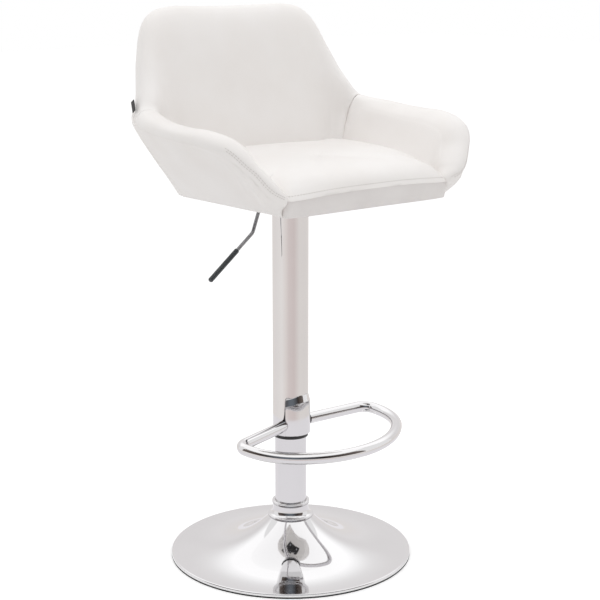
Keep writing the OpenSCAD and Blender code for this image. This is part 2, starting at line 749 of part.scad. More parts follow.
// The moulded inner shell's section
function core_section(s) = profile(s, foot_t - core_t, 14, foot_t - soft_gap, 14 + core_t, core_t / 2);
// The slot that holds it in the padding
function slot_section(s) = profile(s, foot_t - core_t - shell_gap, 14 - shell_gap, foot_t, 14 + core_t + shell_gap, core_t / 2 + shell_gap);

// A section from the depths of its outer and inner faces below the upholstered outside, at foot and knee,
// and the radius of its rim
function profile(s, foot_1, knee_1, foot_2, knee_2, r) = let (
    q = station(s),
    n = [cos(q[9]), sin(q[9]), 0],
    t = unit(rim_at(min(s + 0.1, LAST)) - rim_at(max(s - 0.1, -LAST))),
    out = unit(n - (n * t) * t),
    up = cross(t, out),
    c = [q[5], q[6], q[7]],
    foot = [q[0], q[1], 0],
    knee = [q[2], q[3], q[4]])
    concat(
        [for (v = [0 : 0.2 : 0.81]) through(foot - n * foot_1, knee - n * knee_1, c + out * r, v)],
        [for (a = [0 : 30 : 180]) c + r * (out * cos(a) + up * sin(a))],
        [for (v = [0.8 : -0.2 : -0.01]) through(foot - n * foot_2, knee - n * knee_2, c - out * r, max(v, 0))]);

// The faces that close a ring of points, from their numbers in order
function lid(r) = let (m = len(r), half = floor((m - 1) / 2))
    [for (a = [0 : half - 1]) let (b = m - 1 - a)
        each b - a > 2 ? [[r[a], r[a + 1], r[b - 1]], [r[a], r[b - 1], r[b]]] : [[r[a], r[a + 1], r[b]]]];
function turned(faces) = [for (f = faces) [f[2], f[1], f[0]]];
// The two faces between the points a, b of one ring and c, d of the next
function strip(a, b, c, d) = [[a, c, d], [a, d, b]];

// The solid that passes through a list of rings
module loft(rings) {
    n = len(rings) - 1;
    m = len(rings[0]);
    points = [for (ring = rings) for (p = ring) p];
    sides = [for (i = [0 : n - 1], j = [0 : m - 1]) let (a = i * m + j, b = i * m + (j + 1) % m)
        each strip(a, b, a + m, b + m)];
    first = lid([for (j = [0 : m - 1]) j]);
    last = turned(lid([for (j = [0 : m - 1]) n * m + j]));
    translate([0, 0, seat_h]) polyhedron(points = points, faces = concat(sides, first, last), convexity = 10);
}

function spread(s0, s1) = let (n = ceil((s1 - s0) / STEP)) [for (i = [0 : n]) s0 + (s1 - s0) * i / n];

// The wall's solid between stations s0 and s1
module wall(s0, s1, grow = 0) {
    loft([for (s = spread(s0, s1)) section(s, grow)]);
}

// The inner shell reaches this station on each side
CORE_END = LAST - 1.6;
// Half of the gap between the back's padding and the arms', in stations
SEAM_GAP = 0.004;
function all_but_first(list) = [for (i = [1 : len(list) - 1]) list[i]];
function after(s0, s1) = all_but_first(spread(s0, s1));

module inner_shell() {
    end = CORE_END - SEAM_GAP;
    stations = concat(spread(-end, -SEAM), after(-SEAM, SEAM), after(SEAM, end));
    color("#b9925e") loft([for (s = stations) core_section(s)]);
}

// Padding round the inner shell at the stations given: its underside has a slot that holds the shell.
// A ring's first 17 points are the pad's outside and the rest are the slot, which the ends of the arms don't have.
module padding(stations) {
    rings = [for (s = stations) abs(s) > CORE_END + 0.01 ? section(s, 0) :
        concat(section(s, 0), let (c = slot_section(s)) [for (j = [0 : 15]) c[j]])];
    start = [for (i = 0, n = 0; i < len(rings); n = n + len(rings[i]), i = i + 1) n];
    n = len(rings) - 1;
    slotted = [for (r = rings) len(r) > 17];
    function o(i, j) = start[i] + j;
    function c(i, j) = j == 16 ? start[i] + 16 : start[i] + 17 + j;
    function slot_lid(i) = lid([for (j = [0 : 16]) c(i, j)]);
    function end_lid(i) = slotted[i] ?
        [for (j = [0 : 15]) each j < 15 ?
            [[o(i, j), o(i, j + 1), c(i, j + 1)], [o(i, j), c(i, j + 1), c(i, j)]] : [[o(i, 15), o(i, 16), c(i, 15)]]] :
        lid([for (j = [0 : 16]) o(i, j)]);
    faces = [for (i = [0 : n - 1]) let (k = i + 1) each concat(
        [for (j = [0 : 15]) each strip(o(i, j), o(i, j + 1), o(k, j), o(k, j + 1))],
        slotted[i] && slotted[k] ? concat(
            [for (j = [0 : 15]) each turned(strip(c(i, j), c(i, j + 1), c(k, j), c(k, j + 1)))],
            strip(c(i, 0), o(i, 0), c(k, 0), o(k, 0))) :
        slotted[i] ? concat(slot_lid(i),
            [[o(i, 16), o(k, 16), c(i, 0)], [c(i, 0), o(k, 16), o(k, 0)], [c(i, 0), o(k, 0), o(i, 0)]]) :
        slotted[k] ? concat(turned(slot_lid(k)),
            [[o(i, 16), o(k, 16), c(k, 0)], [o(i, 16), c(k, 0), o(i, 0)], [c(k, 0), o(k, 0), o(i, 0)]]) :
        strip(o(i, 16), o(i, 0), o(k, 16), o(k, 0)))];
    translate([0, 0, seat_h]) polyhedron(points = [for (r = rings) for (p = r) p],
        faces = concat(faces, end_lid(0), turned(end_lid(n))), convexity = 10);
}

module back_pad() {
    color("#e2e2dd") padding(spread(SEAM_GAP - SEAM, SEAM - SEAM_GAP));
}

module left_arm_pad() {
    color("#e4e1dc") padding(concat(spread(-LAST, -CORE_END), after(-CORE_END, -SEAM - SEAM_GAP)));
}

module right_arm_pad() {
    color("#e4e1dc") padding(concat(spread(SEAM + SEAM_GAP, CORE_END), after(CORE_END, LAST)));
}

// A point on the wall's inner face at station s and height z, moved in by gap
function inner_at(s, z, gap) = let (
    q = station(s),
    n = [cos(q[9]), sin(q[9])],
    m = q[4],
    b = q[7],
    k2 = 2 * b - 4 * m,
    k1 = 4 * m - b,
    v = abs(k2) < 0.01 ? z / k1 : (sqrt(max(k1 * k1 + 4 * k2 * z, 0)) - k1) / (2 * k2),
    foot = [q[0], q[1]] - n * foot_t,
    knee = [q[2], q[3]] - n * q[10],
    top = [q[5], q[6]] - n * q[8])
    through(foot, knee, top, v) - n * gap;

// The cushion's outline at height z: it follows the wall, and its front edge stands at front
function cushion_ring(z, front, corner, gap) = let (
    side = [for (s = [10.6, 10, 9.2, 8.4, 7.6, 6.9, 6.3, 5.7, 5.1, 4.5, 4, 3.5, 3, 2.4, 1.6, 0.8]) inner_at(s, z, gap)],
    half = concat([[corner * 0.6, -front + 1.5], [corner * 0.88, -front + 5], [corner, -front + 15]], side))
    concat([[0, -front]], half, [inner_at(0, z, gap)], [for (i = [len(half) - 1 : -1 : 0]) [-half[i][0], half[i][1]]]);

module seat_cushion() {
    corner = fx - 10;
    levels = [
        [board_t, cushion_front - 10, corner - 5, pad_gap],
        [board_t + cushion_t * 0.36, cushion_front, corner, pad_gap],
        [board_t + cushion_t * 0.68, cushion_front - 5, corner, pad_gap],
        [board_t + cushion_t * 0.9, cushion_front - 20, corner - 4, 2],
        [board_t + cushion_t, cushion_front - 48, corner - 16, 16]];
    rings = [for (l = levels) [for (p = cushion_ring(l[0], l[1], l[2], l[3])) [p[0], p[1], l[0]]]];
    m = len(rings[0]);
    k = len(levels);
    points = [for (ring = rings) for (p = ring) p];
    sides = [for (i = [0 : k - 2], j = [0 : m - 1]) let (a = i * m + j, b = i * m + (j + 1) % m)
        each [[a, a + m, b + m], [a, b + m, b]]];
    color("#f4f2ef") difference() {
        translate([0, 0, seat_h]) union() {
            polyhedron(points = points, convexity = 6,
                faces = concat(sides, [[for (j = [0 : m - 1]) j]], [[for (j = [m - 1 : -1 : 0]) (k - 1) * m + j]]));
            linear_extrude(height = board_t + 4) polygon([
                [board_x - 6, -board_y0 - soft_gap], [board_x - 3, -shell_front + 19], [corner - 5, 12 - cushion_front],
                [corner - 13, 6 - cushion_front], [13 - corner, 6 - cushion_front], [5 - corner, 12 - cushion_front],
                [3 - board_x, -shell_front + 19], [6 - board_x, -board_y0 - soft_gap]]);
        }
        wall(LAST - 3.5, LAST + 0.03, 0.5);
        wall(-LAST - 0.03, 3.5 - LAST, 0.5);
    }
}

module side_tag() {
    s = 0.45 - SEAM;
    q = station(s);
    up = unit(rim_at(s + 0.1) - rim_at(s - 0.1));
    h = q[9] + 22;
    color("#141416") translate([q[5], q[6], seat_h + q[7]]) rotate([0, 0, h])
        rotate([tag_lean - asin(up * [-sin(h), cos(h), 0]), atan2(up * [cos(h), sin(h), 0], up[2]), 0])
        translate([q[8] + 2 * soft_gap, -tag_w / 2, -tag_h / 2]) cube([1.2, tag_w, tag_h]);
}

floor_ring();
weight_plate();
ballast_disc();
base_cover();
column_hub();
hub_bolts();
collar();
outer_tube();
tube_end_plate();
guide_bush();
bearing_lower_race();
bearing_balls();
bearing_upper_race();
rod_clip();
piston_rod();
piston();
bumper();
gas_cylinder();
rod_gland();
valve_pin();
cover_sleeve();
sleeve_guide_ring();
sleeve_top_ring();
footrest_bracket();
footrest_loop();
seat_plate();
mechanism_housing();
cone_hub();
pivot_pin();
lever_rod();
lever_grip();
seat_bolts();
seat_washers();
tee_nuts();
dust_cover();
seat_board();
inner_shell();
back_pad();
left_arm_pad();
right_arm_pad();
seat_cushion();
side_tag();
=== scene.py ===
import bpy
import bmesh
import json
import math
import numpy as np
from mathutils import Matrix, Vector

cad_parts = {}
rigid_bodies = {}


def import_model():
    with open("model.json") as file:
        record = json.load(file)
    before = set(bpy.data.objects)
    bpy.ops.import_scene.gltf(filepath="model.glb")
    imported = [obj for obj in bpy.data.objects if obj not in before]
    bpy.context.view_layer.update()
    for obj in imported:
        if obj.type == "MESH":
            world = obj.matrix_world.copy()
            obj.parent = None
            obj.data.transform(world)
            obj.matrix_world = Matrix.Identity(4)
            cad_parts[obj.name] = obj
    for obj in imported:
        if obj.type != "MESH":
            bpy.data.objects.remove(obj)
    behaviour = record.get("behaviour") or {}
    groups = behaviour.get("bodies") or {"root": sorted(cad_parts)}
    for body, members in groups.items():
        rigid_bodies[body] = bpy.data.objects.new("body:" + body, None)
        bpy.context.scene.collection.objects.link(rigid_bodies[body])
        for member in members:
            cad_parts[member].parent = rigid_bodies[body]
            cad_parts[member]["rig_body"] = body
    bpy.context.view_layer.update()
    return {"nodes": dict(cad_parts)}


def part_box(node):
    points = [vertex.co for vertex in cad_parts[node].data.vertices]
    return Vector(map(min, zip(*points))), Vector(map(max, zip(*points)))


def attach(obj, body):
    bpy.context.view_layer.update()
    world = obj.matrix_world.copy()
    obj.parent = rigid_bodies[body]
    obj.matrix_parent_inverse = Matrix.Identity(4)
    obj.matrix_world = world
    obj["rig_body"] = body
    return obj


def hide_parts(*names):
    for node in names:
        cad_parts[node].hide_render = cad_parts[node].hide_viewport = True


# Adjustable swivel stool: a tub seat in pale leatherette on a chromed gas-lift column.
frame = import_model()
nodes = frame["nodes"]
mm = 0.001
print("frame loaded:", len(nodes), "solids")


def bodyOf(node):  # the body that a CAD node rides on
    return nodes[node]["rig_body"]


# Finishes. Every size among them is in millimetres on the object.

noiseSpan = {"From Min": 0.3, "From Max": 0.7}  # where nearly all of a noise texture's values lie


def linear(hexColour):  # sRGB hex to linear RGBA
    parts = [int(hexColour[i:i + 2], 16) / 255 for i in (0, 2, 4)]
    return (*[c / 12.92 if c <= 0.04045 else ((c + 0.055) / 1.055) ** 2.4 for c in parts], 1.0)


def addNode(tree, kind, settings={}, links={}):
    node = tree.nodes.new(kind)
    for key, value in settings.items():
        if isinstance(key, int) or key in node.inputs:
            node.inputs[key].default_value = value
        else:
            setattr(node, key, value)
    for key, socket in links.items():
        tree.links.new(socket, node.inputs[key])
    return node


# What every finish shares: two close shades in soft blotches, roughness that drifts, and a fine relief
def makeFinish(look):
    material = bpy.data.materials.new(look["name"])
    material.use_nodes = True
    tree = material.node_tree
    shader = tree.nodes["Principled BSDF"]
    place = addNode(tree, "ShaderNodeTexCoord").outputs["Object"]
    if "stretch" in look:  # brushed, drawn or veined along one direction
        place = addNode(tree, "ShaderNodeMapping", {"Scale": look["stretch"]}, {"Vector": place}).outputs["Vector"]
    dark, pale = (linear(colour) for colour in look["colours"])
    smoothest, roughest = look["roughness"]
    blotch = addNode(tree, "ShaderNodeTexNoise", {"Scale": 1 / (look["blotch"] * mm), "Detail": 4.0}, {"Vector": place})
    spread = addNode(tree, "ShaderNodeMapRange", noiseSpan, {"Value": blotch.outputs["Fac"]})
    shade = addNode(tree, "ShaderNodeMix", {"data_type": "RGBA", 6: dark, 7: pale}, {0: spread.outputs["Result"]})
    grain = addNode(tree, "ShaderNodeTexNoise", {"Scale": 1 / (look["grain"] * mm), "Detail": 3.0}, {"Vector": place})
    rough = addNode(tree, "ShaderNodeMapRange", {**noiseSpan, "To Min": smoothest, "To Max": roughest},
                    {"Value": grain.outputs["Fac"]})
    tree.links.new(shade.outputs[2], shader.inputs["Base Color"])
    tree.links.new(rough.outputs["Result"], shader.inputs["Roughness"])
    relief = grain.outputs["Fac"]
    if "pebble" in look:  # embossed cells between fine valleys, with about a third as much grain over them
        cells = addNode(tree, "ShaderNodeTexVoronoi", {"feature": "SMOOTH_F1", "Scale": 1 / (look["pebble"] * mm)},
                        {"Vector": place})
        both = addNode(tree, "ShaderNodeMath", {"operation": "MULTIPLY_ADD", 1: 0.35},
                       {0: grain.outputs["Fac"], 2: cells.outputs["Distance"]})
        relief = both.outputs[0]
    if "depth" in look:
        bump = addNode(tree, "ShaderNodeBump", {"Strength": look.get("strength", 0.5), "Distance": look["depth"] * mm},
                       {"Height": relief})
        tree.links.new(bump.outputs["Normal"], shader.inputs["Normal"])
    for socket, value in look.get("shader", {}).items():
        shader.inputs[socket].default_value = value
    return material


# PU leatherette, calendered and embossed: a soft sheen and a pebble that only breaks the highlights.
# The real pebble is 0.9 mm across, drawn coarser so that it shows.
leatherette = makeFinish({
    "name": "leatherettePuEmbossed", "colours": ("efebe8", "f3f0ee"), "blotch": 90, "grain": 2.4, "pebble": 2.2,
    "depth": 0.10, "strength": 0.35, "roughness": (0.40, 0.50),
    "shader": {"IOR": 1.48, "Sheen Weight": 0.05, "Sheen Roughness": 0.4}})
# the cushion's front border: the same leatherette painted a touch greyer, as painted shade on its forward-facing band,
# and a little rougher
paintedShadeBorderLeatherette = makeFinish({
    "name": "leatherettePuBorderPaintedShade", "colours": ("dfdad8", "e6e2e0"), "blotch": 60, "grain": 2.4, "pebble": 2.2,
    "depth": 0.10, "strength": 0.35, "roughness": (0.44, 0.54), "shader": {"IOR": 1.48}})
# bonded polyester thread: matte, a little darker than the cover so that the stitches read
thread = makeFinish({
    "name": "threadPolyesterBonded", "colours": ("cfcac6", "dad6d3"), "blotch": 3, "grain": 1.2,
    "depth": 0.05, "roughness": (0.6, 0.75), "shader": {"IOR": 1.5}})
# bright chrome plate on spun and drawn steel: a mirror with the faintest haze from handling
chrome = makeFinish({
    "name": "chromePlatedSteelPolished", "colours": ("dcdbdc", "e0dfe0"), "blotch": 120, "grain": 14,
    "roughness": (0.035, 0.065), "shader": {"Metallic": 1.0}})
# ground steel: grey, with a directional satin
steel = makeFinish({
    "name": "steelGround", "colours": ("9c9da0", "b1b2b5"), "blotch": 12, "grain": 1.5, "stretch": (1, 1, 0.1),
    "depth": 0.03, "roughness": (0.26, 0.4), "shader": {"Metallic": 1.0}})
# clear-passivated zinc on the fasteners: bluish and slightly cloudy
zinc = makeFinish({
    "name": "zincPlatedPassivated", "colours": ("a9adb3", "bdc0c4"), "blotch": 5, "grain": 1.6,
    "depth": 0.03, "roughness": (0.3, 0.45), "shader": {"Metallic": 1.0}})
# black stoved paint over pressed steel: semi-gloss with a light orange peel
blackPaint = makeFinish({
    "name": "steelPressedBlackPaint", "colours": ("19191b", "222224"), "blotch": 25, "grain": 2.5,
    "depth": 0.06, "roughness": (0.34, 0.46), "shader": {"IOR": 1.5}})
# cast iron under dark primer: granular and dull
castIron = makeFinish({
    "name": "castIronPrimed", "colours": ("3a3b3d", "47484b"), "blotch": 8, "grain": 1.4,
    "depth": 0.15, "roughness": (0.6, 0.75), "shader": {"IOR": 1.5}})
# moulded rubber: dull black with a dry bloom
rubber = makeFinish({
    "name": "rubberMouldedBlack", "colours": ("161617", "1f1f20"), "blotch": 14, "grain": 1.6,
    "depth": 0.08, "roughness": (0.62, 0.78), "shader": {"IOR": 1.52}})
# acetal and nylon guide parts: smooth moulded black with a low sheen
blackPlastic = makeFinish({
    "name": "nylonMouldedBlack", "colours": ("131314", "1b1b1d"), "blotch": 10, "grain": 1.8,
    "depth": 0.04, "roughness": (0.3, 0.42), "shader": {"IOR": 1.53}})
# the lever's grip: dark grey PVC dipped over the rod, glossy
greyPlastic = makeFinish({
    "name": "pvcGripGlossGrey", "colours": ("2f3437", "3a4043"), "blotch": 9, "grain": 2.2,
    "depth": 0.04, "roughness": (0.14, 0.24), "shader": {"IOR": 1.52, "Coat Weight": 0.3, "Coat Roughness": 0.1}})
# birch plywood, rotary cut and sanded: long pale veins
plywood = makeFinish({
    "name": "plywoodBirchSanded", "colours": ("c49a66", "dcb988"), "blotch": 18, "grain": 3.0, "stretch": (1, 0.08, 1),
    "depth": 0.06, "roughness": (0.55, 0.7), "shader": {"IOR": 1.5}})
# the underside's panel is the same leatherette, laid flat, so its grain is all that shows
undersideLeatherette = makeFinish({
    "name": "leatherettePuUnderside", "colours": ("e2dfdc", "e9e6e3"), "blotch": 70, "grain": 2.4, "pebble": 2.2,
    "depth": 0.08, "strength": 0.3, "roughness": (0.45, 0.56), "shader": {"IOR": 1.48}})
# woven polyester tag: black satin ribbon
ribbon = makeFinish({
    "name": "polyesterRibbonBlack", "colours": ("121214", "1d1d20"), "blotch": 3, "grain": 1.1, "stretch": (1, 1, 0.3),
    "depth": 0.06, "roughness": (0.45, 0.6), "shader": {"IOR": 1.5, "Sheen Weight": 0.2, "Sheen Roughness": 0.35}})

keptSolids = {
    rubber: ["floor_ring", "bumper"], castIron: ["weight_plate", "ballast_disc"],
    steel: ["column_hub", "tube_end_plate", "bearing_lower_race", "bearing_balls", "bearing_upper_race", "rod_clip",
            "piston_rod", "piston", "cone_hub", "pivot_pin", "lever_rod"],
    zinc: ["hub_bolts", "seat_bolts", "seat_washers", "tee_nuts"],
    blackPaint: ["gas_cylinder", "mechanism_housing", "seat_plate"],
    blackPlastic: ["guide_bush", "rod_gland", "sleeve_guide_ring", "sleeve_top_ring", "valve_pin"],
    greyPlastic: ["lever_grip"], plywood: ["seat_board", "inner_shell"],
    undersideLeatherette: ["dust_cover"], ribbon: ["side_tag"]}
for material, names in keptSolids.items():
    for name in names:
        nodes[name].data.materials.clear()
        nodes[name].data.materials.append(material)
print("finishes ready")


# Mesh makers

def placeMesh(name, points, faces):  # an object whose faces all look outwards
    mesh = bpy.data.meshes.new(name)
    mesh.from_pydata([tuple(p) for p in points], [], faces)
    made = bmesh.new()
    made.from_mesh(mesh)
    bmesh.ops.recalc_face_normals(made, faces=made.faces)
    made.to_mesh(mesh)
    made.free()
    placed = bpy.data.objects.new(name, mesh)
    bpy.context.scene.collection.objects.link(placed)
    return placed


def newPiece(name, points, faces, material, body, slot):
    piece = placeMesh(name, points, faces)
    for polygon in piece.data.polygons:
        polygon.use_smooth = True
    piece.data.materials.append(material)
    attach(piece, body)
    return piece


def quad(i, nextI, j, columns):  # one face between two rings of points; the last column meets the first
    nextJ = (j + 1) % columns
    return (i * columns + j, i * columns + nextJ, nextI * columns + nextJ, nextI * columns + j)


def gridMesh(grid):  # points and faces of rows of closed rings, each end closed by a fan round its middle
    rows, columns = grid.shape[:2]
    top = (rows - 1) * columns
    faces = [quad(i, i + 1, j, columns) for i in range(rows - 1) for j in range(columns)]
    faces += [((j + 1) % columns, j, rows * columns) for j in range(columns)]
    faces += [(top + j, top + (j + 1) % columns, rows * columns + 1) for j in range(columns)]
    return np.vstack([grid.reshape(-1, 3), grid[0].mean(0), grid[-1].mean(0)]), faces


def lathe(name, profile, segments, body, sharp):  # chromed and turned; profile is closed, [radius, height] in mm
    ring = np.array(profile, float) * mm
    points = [(r * math.cos(a), r * math.sin(a), z) for a in circle(segments) for r, z in ring]
    faces = [quad(i, (i + 1) % segments, j, len(ring)) for i in range(segments) for j in range(len(ring))]
    piece = newPiece(name, points, faces, chrome, body, "chrome")
    sharpen(piece, sharp)
    return piece


def sharpen(piece, degrees):  # corners sharper than this keep an edge
    made = bmesh.new()
    made.from_mesh(piece.data)
    for edge in made.edges:
        if len(edge.link_faces) == 2 and edge.calc_face_angle(0) > math.radians(degrees):
            edge.smooth = False
    made.to_mesh(piece.data)
    made.free()


def unit(v):
    return v / max(np.linalg.norm(v), 1e-12)


def smooth01(x):  # 0 to 1 with soft ends
    x = np.clip(x, 0, 1)
    return x * x * (3 - 2 * x)


def bell(x):
    return np.exp(-x * x)


def between(a, b, c, d, t):  # a smooth line through b and c that also heeds a and d
    return 0.5 * (2 * b + (c - a) * t + (2 * a - 5 * b + 4 * c - d) * t * t + (3 * b - a - 3 * c + d) * t ** 3)


def circle(sides):  # the angles of a ring's points
    return np.arange(sides) * 2 * math.pi / sides


def sweep(path, radius, sides):  # the grid of a round bar along a path in metres
    path = np.array(path, float)
    along = np.array([unit(path[min(i + 1, len(path) - 1)] - path[max(i - 1, 0)]) for i in range(len(path))])
    side = unit(np.cross(along[0], (0, 0, 1)) if abs(along[0][2]) < 0.9 else np.cross(along[0], (0, 1, 0)))
    rows = []
    for p, t in zip(path, along):
        side = unit(side - t * side.dot(t))
        up = np.cross(t, side)
        rows.append([p + radius * (side * math.cos(a) + up * math.sin(a)) for a in circle(sides)])
    return np.array(rows)


def arc(centre, radius, start, end, step):  # points on an arc in a plane, degrees
    n = math.ceil(abs(end - start) / step)
    return [(centre[0] + radius * math.cos(math.radians(start + (end - start) * i / n)),
             centre[1] + radius * math.sin(math.radians(start + (end - start) * i / n))) for i in range(n + 1)]


# Chromed base and column, in mm

# flare is the power of the trumpet's curve; under is how many sheet thicknesses lie straight below its face
base = {"diameter": 385, "rimHeight": 7, "neckHeight": 62, "neckDiameter": 70, "sheet": 1.6, "under": 1.1, "flare": 3,
        "edge": 2, "ringHeight": 2.5, "hole": 52, "steps": 110, "skipUnder": 4, "segments": 192, "sharp": 50}


def makeBase(b):
    outer, neck = b["diameter"] / 2, b["neckDiameter"] / 2
    rise = b["neckHeight"] - b["rimHeight"]
    shoulder = outer - b["edge"]  # where the rolled edge turns into the flare

    def height(r):
        return b["rimHeight"] + rise * ((outer - r) / (outer - neck)) ** b["flare"]

    radii = [shoulder + (neck - outer + b["edge"]) * i / b["steps"] for i in range(b["steps"] + 1)]
    profile = [(outer - b["sheet"], b["ringHeight"]), (outer, b["ringHeight"])]
    profile += arc((shoulder, b["rimHeight"] - b["edge"]), b["edge"], 0, 90, 10)[:-1]
    profile += [(r, height(r)) for r in radii]
    profile += [(b["hole"] / 2, b["neckHeight"]), (b["hole"] / 2, b["neckHeight"] - b["sheet"])]
    profile += [(r, height(r) - b["sheet"] * b["under"]) for r in reversed(radii[b["skipUnder"]::b["skipUnder"]])]
    cover = lathe("base_trumpet", profile, b["segments"], bodyOf("base_cover"), b["sharp"])
    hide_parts("base_cover")


# A wide lip stands on the trumpet, then come a ledge, a hollow sweep up to the waist and a rounded rim round the tube.
# lipAt is the height of the lip's upper round's middle, lipTop where the sweep begins; rimSteps are (in, down) from
# the rim's top.
collarShape = {"lip": 74, "rim": 60, "height": 26, "foot": 62, "bore": 50, "chamfer": 0.8, "footRound": 1.2,
               "lipRound": 1, "lipAt": 2.6, "lipTop": 3.6, "ledge": 1.6, "waist": 1.8, "sweep": 0.42, "rimRound": 1.6,
               "rimSteps": [(1.8, 6.4), (1.1, 5.9), (0.35, 5.2), (0, 4.4), (0, 1.6)], "segments": 160, "sharp": 40}


def makeCollar(c):
    lip, top, z0, z1 = c["lip"] / 2, c["rim"] / 2, c["foot"], c["foot"] + c["height"]
    bore, ledge, rise = c["bore"] / 2, lip - c["ledge"], c["height"] * c["sweep"]
    profile = [(bore, z0)]
    profile += arc((lip - c["footRound"], z0 + c["footRound"]), c["footRound"], -90, 0, 15)
    profile += arc((lip - c["lipRound"], z0 + c["lipAt"]), c["lipRound"], 0, 90, 15)
    for a in range(0, 91, 6):
        over, up = math.sin(math.radians(a)), 1 - math.cos(math.radians(a))
        profile.append((ledge - (ledge - (top - c["waist"])) * over, z0 + c["lipTop"] + rise * up))
    profile += [(top - inwards, z1 - down) for inwards, down in c["rimSteps"]]
    profile += arc((top - c["rimRound"], z1 - c["rimRound"]), c["rimRound"], 15, 90, 15)
    profile += [(bore + c["chamfer"], z1), (bore, z1 - c["chamfer"])]
    ring = lathe("column_collar", profile, c["segments"], bodyOf("collar"), c["sharp"])
    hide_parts("collar")


tubes = {
    "fixed_tube": {"node": "outer_tube", "outer": 25, "inner": 23, "edge": 0.4, "segments": 160, "sharp": 50},
    "sliding_sleeve": {"node": "cover_sleeve", "outer": 28.2, "inner": 27, "edge": 0.35, "segments": 160, "sharp": 50}}


def makeTube(name, t):
    low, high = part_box(t["node"])
    z0, z1, e, outer = low.z / mm, high.z / mm, t["edge"], t["outer"]
    profile = [(t["inner"], z0), (outer - e, z0), (outer - 0.3 * e, z0 + 0.3 * e), (outer, z0 + e), (outer, z0 + 2 * e),
               (outer, z1 - 2 * e), (outer, z1 - e), (outer - 0.3 * e, z1 - 0.3 * e), (outer - e, z1), (t["inner"], z1)]
    piece = lathe(name, profile, t["segments"], bodyOf(t["node"]), t["sharp"])
    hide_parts(t["node"])


makeBase(base)
makeCollar(collarShape)
for name, t in tubes.items():
    makeTube(name, t)
print("base and column made")

# Footrest: a round bar bent into a loop, and the plate that carries it on the sleeve

# The loop is a wide front arc, a tighter one at each side, a small bend, and a straight run back to the column.
# short is how far from the column's axis that run stops.
footrest = {"tube": 18, "height": 219, "reach": 166, "frontRadius": 175, "frontAngle": 40, "sideRadius": 100,
            "bendRadius": 22, "bendAngle": 81, "short": 30, "tilt": 3, "turn": 8, "straightSteps": 8, "sides": 40,
            "sharp": 60}


def makeFootrest(f):
    frontC = (0, -f["reach"] + f["frontRadius"])
    a, b = math.radians(f["frontAngle"]), math.radians(f["bendAngle"])
    closer = f["frontRadius"] - f["sideRadius"]
    sideC = (frontC[0] + closer * math.sin(a), frontC[1] - closer * math.cos(a))
    bendC = (sideC[0] + f["sideRadius"] - f["bendRadius"], sideC[1])
    arm = (bendC[0] + f["bendRadius"] * math.cos(b), bendC[1] + f["bendRadius"] * math.sin(b))
    straight, n = arm[0] / math.sin(b) - f["short"], f["straightSteps"]
    right = [(arm[0] - straight * math.sin(b) * i / n, arm[1] + straight * math.cos(b) * i / n)
             for i in range(n, 0, -1)]
    right += arc(bendC, f["bendRadius"], f["bendAngle"], 0, 3)
    right += arc(sideC, f["sideRadius"], 0, f["frontAngle"] - 90, 2)[1:]
    right += arc(frontC, f["frontRadius"], f["frontAngle"] - 90, -90, 2)[1:]
    loop = right + [(-x, y) for x, y in reversed(right[:-1])]
    tilt, turn = math.radians(f["tilt"]), math.radians(f["turn"])
    line = []
    for x, y in loop:
        y, z = y * math.cos(tilt), f["height"] + y * math.sin(tilt)
        x, y = x * math.cos(turn) - y * math.sin(turn), x * math.sin(turn) + y * math.cos(turn)
        line.append((x * mm, y * mm, z * mm))
    grid = sweep(line, f["tube"] / 2 * mm, f["sides"])
    ring = newPiece("footrest_ring", *gridMesh(grid), chrome, bodyOf("footrest_loop"), "chrome")
    sharpen(ring, f["sharp"])
    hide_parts("footrest_loop")


makeFootrest(footrest)

# The plate wraps the sleeve by wrap degrees each way. Its top falls away by shoulder beyond the flat middle, and is
# bevelled on its outside. The side edges are broken: they step in by edge over breakTurn degrees beyond the wrap.
bracket = {"inner": 28.2, "clear": 0.05, "outer": 31.2, "bottom": 202, "height": 65, "wrap": 62, "bevel": 11,
           "shoulder": 8, "flat": 10, "turn": 8, "edge": 0.5, "breakTurn": 0.6, "steps": 48, "sharp": 8}


def makeBracket(b):
    rows, steps = [], b["steps"]
    low, inner = b["bottom"], b["inner"] + b["clear"]
    for i in range(-1, steps + 2):
        side = (i > steps) - (i < 0)  # -1 or 1 on the two broken edges
        angle = -b["wrap"] + 2 * b["wrap"] * min(max(i, 0), steps) / steps
        beyondFlat = max(0, abs(b["outer"] * math.sin(math.radians(angle))) - b["flat"])
        top = low + min(b["height"], b["height"] + 1 - b["shoulder"] * beyondFlat / (b["outer"] - b["flat"]))
        outer = b["outer"] - b["edge"] * abs(side)
        section = [(inner, low), (outer - b["edge"], low), (outer, low + b["edge"]), (outer, low + 4),
                   (outer, top - b["bevel"] - 3), (outer, top - b["bevel"]),
                   (inner + 0.6, top - 0.5), (inner + 0.3, top), (inner, top)]
        turn = math.radians(-90 + b["turn"] + angle) + math.radians(b["breakTurn"]) * side
        rows.append([(r * math.cos(turn) * mm, r * math.sin(turn) * mm, z * mm) for r, z in section])
    plate = newPiece("footrest_saddle", *gridMesh(np.array(rows)), chrome, bodyOf("footrest_bracket"), "chrome")
    sharpen(plate, b["sharp"])
    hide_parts("footrest_bracket")


makeBracket(bracket)
print("footrest made")

# Upholstered wall: sections at stations counted from the middle of the back, 0, to the right arm's front end, 13.
# The left side is the mirror image, with minus signs.

# seam and last are stations. softBack and softArm say how far the rim's inside is drawn out into one long curve, down
# to softTo; crestPull and insidePull are how strongly its two ends hold their direction.
tub = {"seatHeight": 585, "width": 310, "front": 178, "back": 88, "armSpan": 454, "armHeight": 125, "backHeight": 281,
       "rake": 160, "topWidth": 316, "rim": 22, "foot": 27, "seam": 6, "last": 13, "stationStep": 0.13,
       "tuck": 0.9, "seamDepth": 1.8, "seamWidth": 9.0, "footRound": 5.0, "endRound": 1.6, "endWidth": 7,
       "softBack": 0.9, "softArm": 0.85, "softTo": 0.55, "crestPull": 1.25, "insidePull": 0.45}


